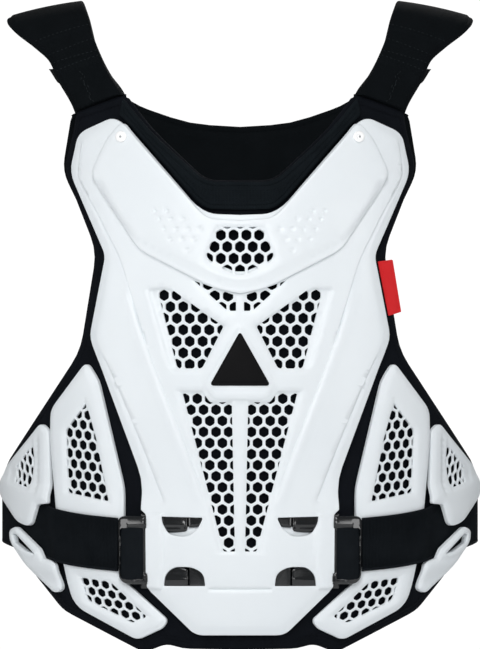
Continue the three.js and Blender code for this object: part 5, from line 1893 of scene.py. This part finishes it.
@dataclass
class ShoulderHarness:
    """A shoulder pad in stitched steps, with the strap and the slider under it."""

    # Column and row of the outer edge, then of the inner edge, then depth shares at the front and back.
    stations: tuple[tuple[float, ...], ...] = (
        (6.5, 18.5, 84, 2, 0, 0, 0, 0), (9, 24.5, 86.5, 9, 0.125, 0.16, 0.17, 0.2),
        (17, 32.5, 90, 20, 0.21, 0.25, 0.31, 0.36), (33, 45, 93.5, 36, 0.29, 0.345, 0.45, 0.52),
        (48, 59, 101, 57, 0.345, 0.435, 0.6, 0.67), (56.5, 78, 110, 77, 0.385, 0.52, 0.72, 0.775),
        (70, 102, 118, 91, 0.425, 0.575, 0.805, 0.835), (74.5, 113, 120, 96, 0.438, 0.592, 0.825, 0.85),
    )
    seams: tuple[Seam, ...] = (
        Seam(46.5, 28, 1.3 * MM), Seam(60, 42.5, 1 * MM), Seam(67.5, 54.5, -0.7 * MM, 5 * MM),
        Seam(76.5, 59.5, 1.7 * MM, 14 * MM),
    )
    tack: tuple[Spot, ...] = (
        (81.5, 73.5), (86.5, 78.5), (83, 80), (87.5, 84), (85, 86), (91, 88), (88, 91), (93.5, 96),
        (91, 99), (96, 102.5),
    )
    strap_thickness: float = 2.4 * MM
    slider_thickness: float = 2.4 * MM
    rings: int = 150
    columns: int = 44
    rim_width: float = 3.6 * MM
    rim_drop: float = 1.2 * MM
    crown: float = 1.4 * MM
    lift: float = 1.2 * MM
    undercut: float = 6.5 * MM
    undercut_width: float = 12 * MM
    corner: float = 2.4 * MM
    rim_ramp: float = 1.2 * MM
    seam_ramp: float = 0.9 * MM
    stitch_back: float = 2.6 * MM
    stitch_dip: float = 0.45 * MM
    stitch_dip_width: float = 0.8 * MM
    stitched: tuple[float, float] = (0.1, 0.95)
    stitch_share_back: float = 0.011
    stitch_seat: float = 0.1 * MM
    rib_count: int = 9
    strap_gap: float = 0.8 * MM
    strap_sides: tuple[float, float] = (-0.2, 0.3)
    strap_corner: float = 0.9 * MM
    strap_rib: float = 0.12 * MM
    slider_span: tuple[float, float] = (0.795, 0.862)
    slider_sides: tuple[float, float] = (0.12, 0.3)
    slider_corner: float = 1.1 * MM
    slider_rib: float = 0.3 * MM
    slider_rings: int = 24

    def edge(self, side: Side, which: int, share: Points) -> Points:
        """Points on the pad's outer or inner edge, from the back over the crest to the front.

        Args:
            side: The side of the front view.
            which: 0 for the outer edge, 1 for the inner one.
            share: Shares of the run, from the back liner to the front liner.

        Returns:
            Points in the frame.
        """
        knots = []
        for station in [*self.stations[:0:-1], *self.stations]:
            back = len(knots) < len(self.stations) - 1
            behind, ahead = TORSO.back_depth * station[6 + which], -TORSO.front_depth * station[4 + which]
            depth = behind if back else ahead
            x = side.value * (CENTRE_COLUMN - station[2 * which]) * COLUMN
            knots.append((x, depth, (SEAT_ROW - station[2 * which + 1]) * ROW))
        return spline(np.array(knots), share)

    def frame_at(self, side: Side, share: Points) -> tuple[Points, Points, Points]:
        """Outer edge, inner edge and upward direction at shares of the run."""
        outer, inner = self.edge(side, 0, share), self.edge(side, 1, share)
        small = 1e-4
        along = sum(self.edge(side, k, share + small) - self.edge(side, k, share - small) for k in (0, 1))
        up = np.cross(inner - outer, along)
        up /= np.linalg.norm(up, axis=1, keepdims=True)
        flip = (up[:, 2] < 0) | ((np.abs(up[:, 2]) < 0.05) & (up[:, 1] * outer[:, 1] < 0))
        up[flip] *= -1
        return outer, inner, up

    def share_at(self, side: Side, which: int, row: float) -> float:
        """The share of the run at which a front edge crosses a row."""
        shares = np.linspace(0.5, 1, 400)
        height = self.edge(side, which, shares)[:, 2]
        return float(np.interp((SEAT_ROW - row) * ROW, height[::-1], shares[::-1]))

    def block(self, name: str, side: Side, span: tuple[float, float], sides: tuple[float, float],
              depths: tuple[float, float], rounding: float,
              relief: Callable[[Points, Points, Points], Points],
              rings: int, undercut: float = 0) -> bpy.types.Object:
        """Makes a closed strip that follows the pad's run.

        Args:
            name: The piece's name.
            side: The side of the front view.
            span: Shares of the run from which to which it goes.
            sides: Shares of the pad's width by which it stands out past the outer edge and in from
                the inner.
            depths: Depths of its top and underside below the pad's top.
            rounding: How far its long edges and ends are rounded, in metres.
            relief: Height on its top from shares across, shares of the run and distance from the
                outer edge.
            rings: How many rings it has.
            undercut: How much thinner it is along its outer edge.

        Returns:
            The strip's object.
        """
        shares = np.linspace(*span, rings)
        outer, inner, up = self.frame_at(side, shares)
        width = inner - outer
        a, b = outer - width * sides[0], inner - width * sides[1]
        wide = np.linalg.norm(b - a, axis=1)
        run = np.concatenate([[0], np.cumsum(np.linalg.norm(np.diff((a + b) / 2, axis=0), axis=1))])
        turn = np.linspace(0, np.pi, self.columns)
        across = 0.5 - 0.5 * np.cos(turn)
        across = 0.55 * across + 0.45 * np.linspace(0, 1, self.columns)
        rows_top, rows_low, flat_top, flat_low = [], [], [], []
        for k, share in enumerate(shares):
            from_edge = np.minimum(across, 1 - across) * wide[k]
            from_end = min(run[k], run[-1] - run[k])
            round_side = 1 - np.clip(from_edge / rounding, 0, 1)
            round_end = 1 - min(from_end / rounding, 1)
            drop = rounding * (1 - np.sqrt(np.maximum(0, 1 - np.maximum(round_side, round_end) ** 2)))
            height = relief(across, np.full(self.columns, share), across * wide[k])
            pinch = undercut * (1 - eased(across * wide[k] / self.undercut_width))
            thickness = depths[1] - depths[0] + height - pinch
            drop = np.minimum(drop, thickness / 2 - 0.1 * MM)
            top = -depths[0] + height - drop
            low = -depths[1] + pinch + drop
            line = a[k] + across[:, None] * (b[k] - a[k])
            rows_top.append(line + up[k] * top[:, None])
            rows_low.append(line + up[k] * low[:, None])
            flat_top.append(np.column_stack([across * wide[k], np.full(self.columns, run[k])]))
            flat_low.append(flat_top[-1])
        n = self.columns
        vertices = np.vstack([*rows_top, *rows_low])
        flats = np.vstack([*flat_top, *flat_low])
        low_start = rings * n
        faces = []
        for r in range(rings - 1):
            for k in range(n - 1):
                v = r * n + k
                faces.append((v, v + 1, v + n + 1, v + n))
                faces.append((v + low_start, v + low_start + n, v + low_start + n + 1, v + low_start + 1))
            v = r * n
            faces.append((v, v + n, v + n + low_start, v + low_start))
            v = r * n + n - 1
            faces.append((v, v + low_start, v + low_start + n, v + n))
        for k in range(n - 1):
            faces.append((k, k + low_start, k + low_start + 1, k + 1))
            v = (rings - 1) * n + k
            faces.append((v, v + 1, v + low_start + 1, v + low_start))
        top_middle = rings // 2 * n + n // 2
        first, second, third = vertices[[top_middle, top_middle + 1, top_middle + n]]
        if np.cross(second - first, third - first) @ up[rings // 2] < 0:
            faces = [face[::-1] for face in faces]
        return mesh_object(name, vertices, faces, flats, 60)

    def seam_share(self, side: Side, seam: Seam, across: Points) -> Points:
        """The share of the run that a seam has at shares across the pad."""
        ends = self.share_at(side, 0, seam.outer_row), self.share_at(side, 1, seam.inner_row)
        return ends[0] + (ends[1] - ends[0]) * across

    def pad_relief(self, side: Side) -> Callable[[Points, Points, Points], Points]:
        """Height of the pad's top: its crown, the lower layer's rim and the seams."""
        steps = np.diff(self.edge(side, 0, np.linspace(0, 1, 200)), axis=0)
        length = float(np.linalg.norm(steps, axis=1).sum())
        ends = [(self.share_at(side, 0, seam.outer_row), self.share_at(side, 1, seam.inner_row))
                for seam in self.seams]

        def relief(across: Points, share: Points, from_outer: Points) -> Points:
            """The height at points of the top."""
            mirrored_share = np.maximum(share, 1 - share)
            height = self.lift + self.crown * (1 - (2 * across - 1) ** 2)
            rim = 1 - eased((from_outer - self.rim_width) / self.rim_ramp)
            height -= self.rim_drop * rim * eased((share - 0.4) / 0.1)
            for seam, (outer, inner) in zip(self.seams, ends):
                beyond = (mirrored_share - outer - (inner - outer) * across) * length
                faded = np.exp(-np.maximum(beyond, 0) / seam.fade)
                height -= seam.step * eased(beyond / self.seam_ramp) * faded
                from_stitches = (beyond + self.stitch_back) / self.stitch_dip_width
                height -= self.stitch_dip * np.exp(-(from_stitches**2))
            return height

        return relief

    def build(self, workshop: Workshop, side: Side) -> None:
        """Makes and dresses the pad, its stitches, the strap and the slider."""
        relief = self.pad_relief(side)
        label = side.label
        pad = self.block(f"shoulder_pad_{label}_cloth", side, (0, 1), (0, 0), (0, PAD_THICKNESS),
                         self.corner, relief, self.rings, self.undercut)
        workshop.dress(pad, Finish.PAD, f"shoulder_pad_{label}")
        lines = []
        across = np.linspace(*self.stitched, 30)
        for seam in self.seams:
            share = self.seam_share(side, seam, across) - self.stitch_share_back
            lines.append(self.on_pad(side, across, share, relief))
        lines.append(self.tack_line(side, relief))
        stitches = STITCHES.build(f"shoulder_pad_{label}_stitches", lines,
                                  workshop.materials[Finish.THREAD])
        workshop.dress(stitches, Finish.PAD)
        top = PAD_THICKNESS + self.strap_gap
        strap = self.block(f"shoulder_strap_{label}_web", side, (0, 1), self.strap_sides,
                           (top, top + self.strap_thickness), self.strap_corner,
                           self.ribbed(self.strap_rib), self.rings)
        workshop.dress(strap, Finish.WEBBING, f"shoulder_strap_{label}")
        top += self.strap_thickness + CLEARANCE
        slider = self.block(f"shoulder_slider_{label}_bar", side, self.slider_span, self.slider_sides,
                            (top, top + self.slider_thickness), self.slider_corner,
                            self.ribbed(self.slider_rib), self.slider_rings)
        workshop.dress(slider, Finish.SLIDER, f"shoulder_slider_{label}")

    def ribbed(self, height: float) -> Callable[[Points, Points, Points], Points]:
        """Low ribs along a strip."""
        return lambda across, share, from_outer: (
            -height * (0.5 - 0.5 * np.cos(across * 2 * np.pi * self.rib_count)))

    def on_pad(self, side: Side, across: Points, share: Points,
               relief: Callable[[Points, Points, Points], Points]) -> Line3:
        """A line on the pad's top from shares across it and along its run."""
        outer, inner, up = self.frame_at(side, share)
        wide = np.linalg.norm(inner - outer, axis=1)
        height = relief(across, share, across * wide)
        raised = up * (height + self.stitch_seat)[:, None]
        return Line3(outer + (inner - outer) * across[:, None] + raised, up)

    def tack_line(self, side: Side, relief: Callable[[Points, Points, Points], Points]) -> Line3:
        """The zigzag tack below the last step, found from its columns and rows."""
        shares = np.linspace(0.5, 1, 300)
        outer, inner, _ = self.frame_at(side, shares)
        tack = resampled(np.array(self.tack, float), 1.2, closed=False)
        across_found, share_found = [], []
        for column, row in tack:
            x, z = side.value * (CENTRE_COLUMN - column) * COLUMN, (SEAT_ROW - row) * ROW
            across = (x - outer[:, 0]) / (inner[:, 0] - outer[:, 0])
            height = outer[:, 2] + across * (inner[:, 2] - outer[:, 2])
            best = np.argmin(np.abs(height - z))
            across_found.append(across[best])
            share_found.append(shares[best])
        return self.on_pad(side, np.array(across_found), np.array(share_found), relief)


@dataclass(frozen=True)
class Lamp:
    """A soft square lamp: its place from the piece's centre, its size and its power in watts."""

    name: str
    place: tuple[float, float, float]
    size: float
    power: float

    def hang(self, target: Vector) -> None:
        """Adds the lamp, facing a point.

        Args:
            target: The point that it lights, which its place starts from.
        """
        light = bpy.data.lights.new(self.name, "AREA")
        light.size = self.size
        light.energy = self.power
        lamp = bpy.data.objects.new(self.name, light)
        lamp.location = Vector(self.place) + target
        lamp.rotation_euler = (target - lamp.location).to_track_quat("-Z", "Y").to_euler()
        bpy.context.scene.collection.objects.link(lamp)


@dataclass
class Studio:
    """The pale floor, the soft lights and the camera at the photograph's angle."""

    centre_row: float = 324.5
    lowest_row: float = 650
    distance: float = 14.0
    sensor: float = 36.0
    frame_height: float = 649 * ROW
    floor_drop: float = 0.3
    floor_size: float = 6.0
    backdrop_seen: float = 1.05
    backdrop_light: float = 0.2
    lamps: tuple[Lamp, ...] = (
        Lamp("key", (-0.3, -2.6, 1.2), 1.4, 33),
        Lamp("fill", (0.6, -2.6, -0.6), 1.6, 2.6),
        Lamp("rim_left", (-2.2, -1.3, 0.4), 1.2, 14),
        Lamp("rim_right", (2.2, -1.3, 0.4), 1.2, 14),
        Lamp("back", (0.5, 2.6, 1.2), 1.4, 22),
        Lamp("glint", (0, -1.5, 2.0), 0.25, 12),
    )

    def build(self) -> None:
        """Makes the floor, the world, the lights and the camera."""
        centre = Vector((0, 0, (SEAT_ROW - self.centre_row) * ROW))
        floor_z = (SEAT_ROW - self.lowest_row) * ROW - self.floor_drop
        half = self.floor_size / 2
        corners = np.array([(-half, -half, floor_z), (half, -half, floor_z), (half, half, floor_z),
                            (-half, half, floor_z)])
        floor = mesh_object("floor", corners, [(0, 1, 2, 3)])
        floor.data.materials.append(Shader("floor_paint", (0.82, 0.83, 0.84), Roughness=0.8).material)
        self.world()
        bpy.context.scene.view_settings.view_transform = "Standard"
        for lamp in self.lamps:
            lamp.hang(centre)
        camera = bpy.data.cameras.new("camera")
        camera.sensor_width = self.sensor
        camera.lens = self.sensor * self.distance / self.frame_height
        camera.clip_end = 4 * self.distance
        view = bpy.data.objects.new("camera", camera)
        view.location = centre + Vector((0, -self.distance, 0))
        view.rotation_euler = (math.pi / 2, 0, 0)
        bpy.context.scene.collection.objects.link(view)
        bpy.context.scene.camera = view

    def world(self) -> None:
        """A white backdrop that lights the piece less than it shows."""
        world = bpy.data.worlds.new("studio")
        world.use_nodes = True
        tree = world.node_tree
        tree.nodes.clear()
        path = tree.nodes.new("ShaderNodeLightPath")
        strength = tree.nodes.new("ShaderNodeMapRange")
        strength.inputs["To Min"].default_value = self.backdrop_light
        strength.inputs["To Max"].default_value = self.backdrop_seen
        backdrop = tree.nodes.new("ShaderNodeBackground")
        backdrop.inputs["Color"].default_value = (1, 1, 1, 1)
        output = tree.nodes.new("ShaderNodeOutputWorld")
        tree.links.new(path.outputs["Is Camera Ray"], strength.inputs["Value"])
        tree.links.new(strength.outputs[0], backdrop.inputs["Strength"])
        tree.links.new(backdrop.outputs[0], output.inputs["Surface"])
        bpy.context.scene.world = world


def main() -> None:
    """Builds the looks of the whole protector."""
    logging.basicConfig(level=logging.INFO, format="%(message)s")
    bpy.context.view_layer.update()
    Studio().build()
    workshop = Workshop()
    ChestShell().build(workshop)
    ChestOverlay().build(workshop)
    for plate in SIDE_PLATES:
        for side in Side:
            plate.build(workshop, side)
    Badge().build(workshop)
    BackShell().build(workshop)
    FrontLiner().build(workshop)
    NeckCollar().build(workshop)
    BackLiner().build(workshop)
    SideLabel().build(workshop)
    for side in Side:
        WaistWebbing().build(workshop, side)
        Buckle().build(workshop, side)
        ShoulderHarness().build(workshop, side)


if __name__ == "__main__":
    main()
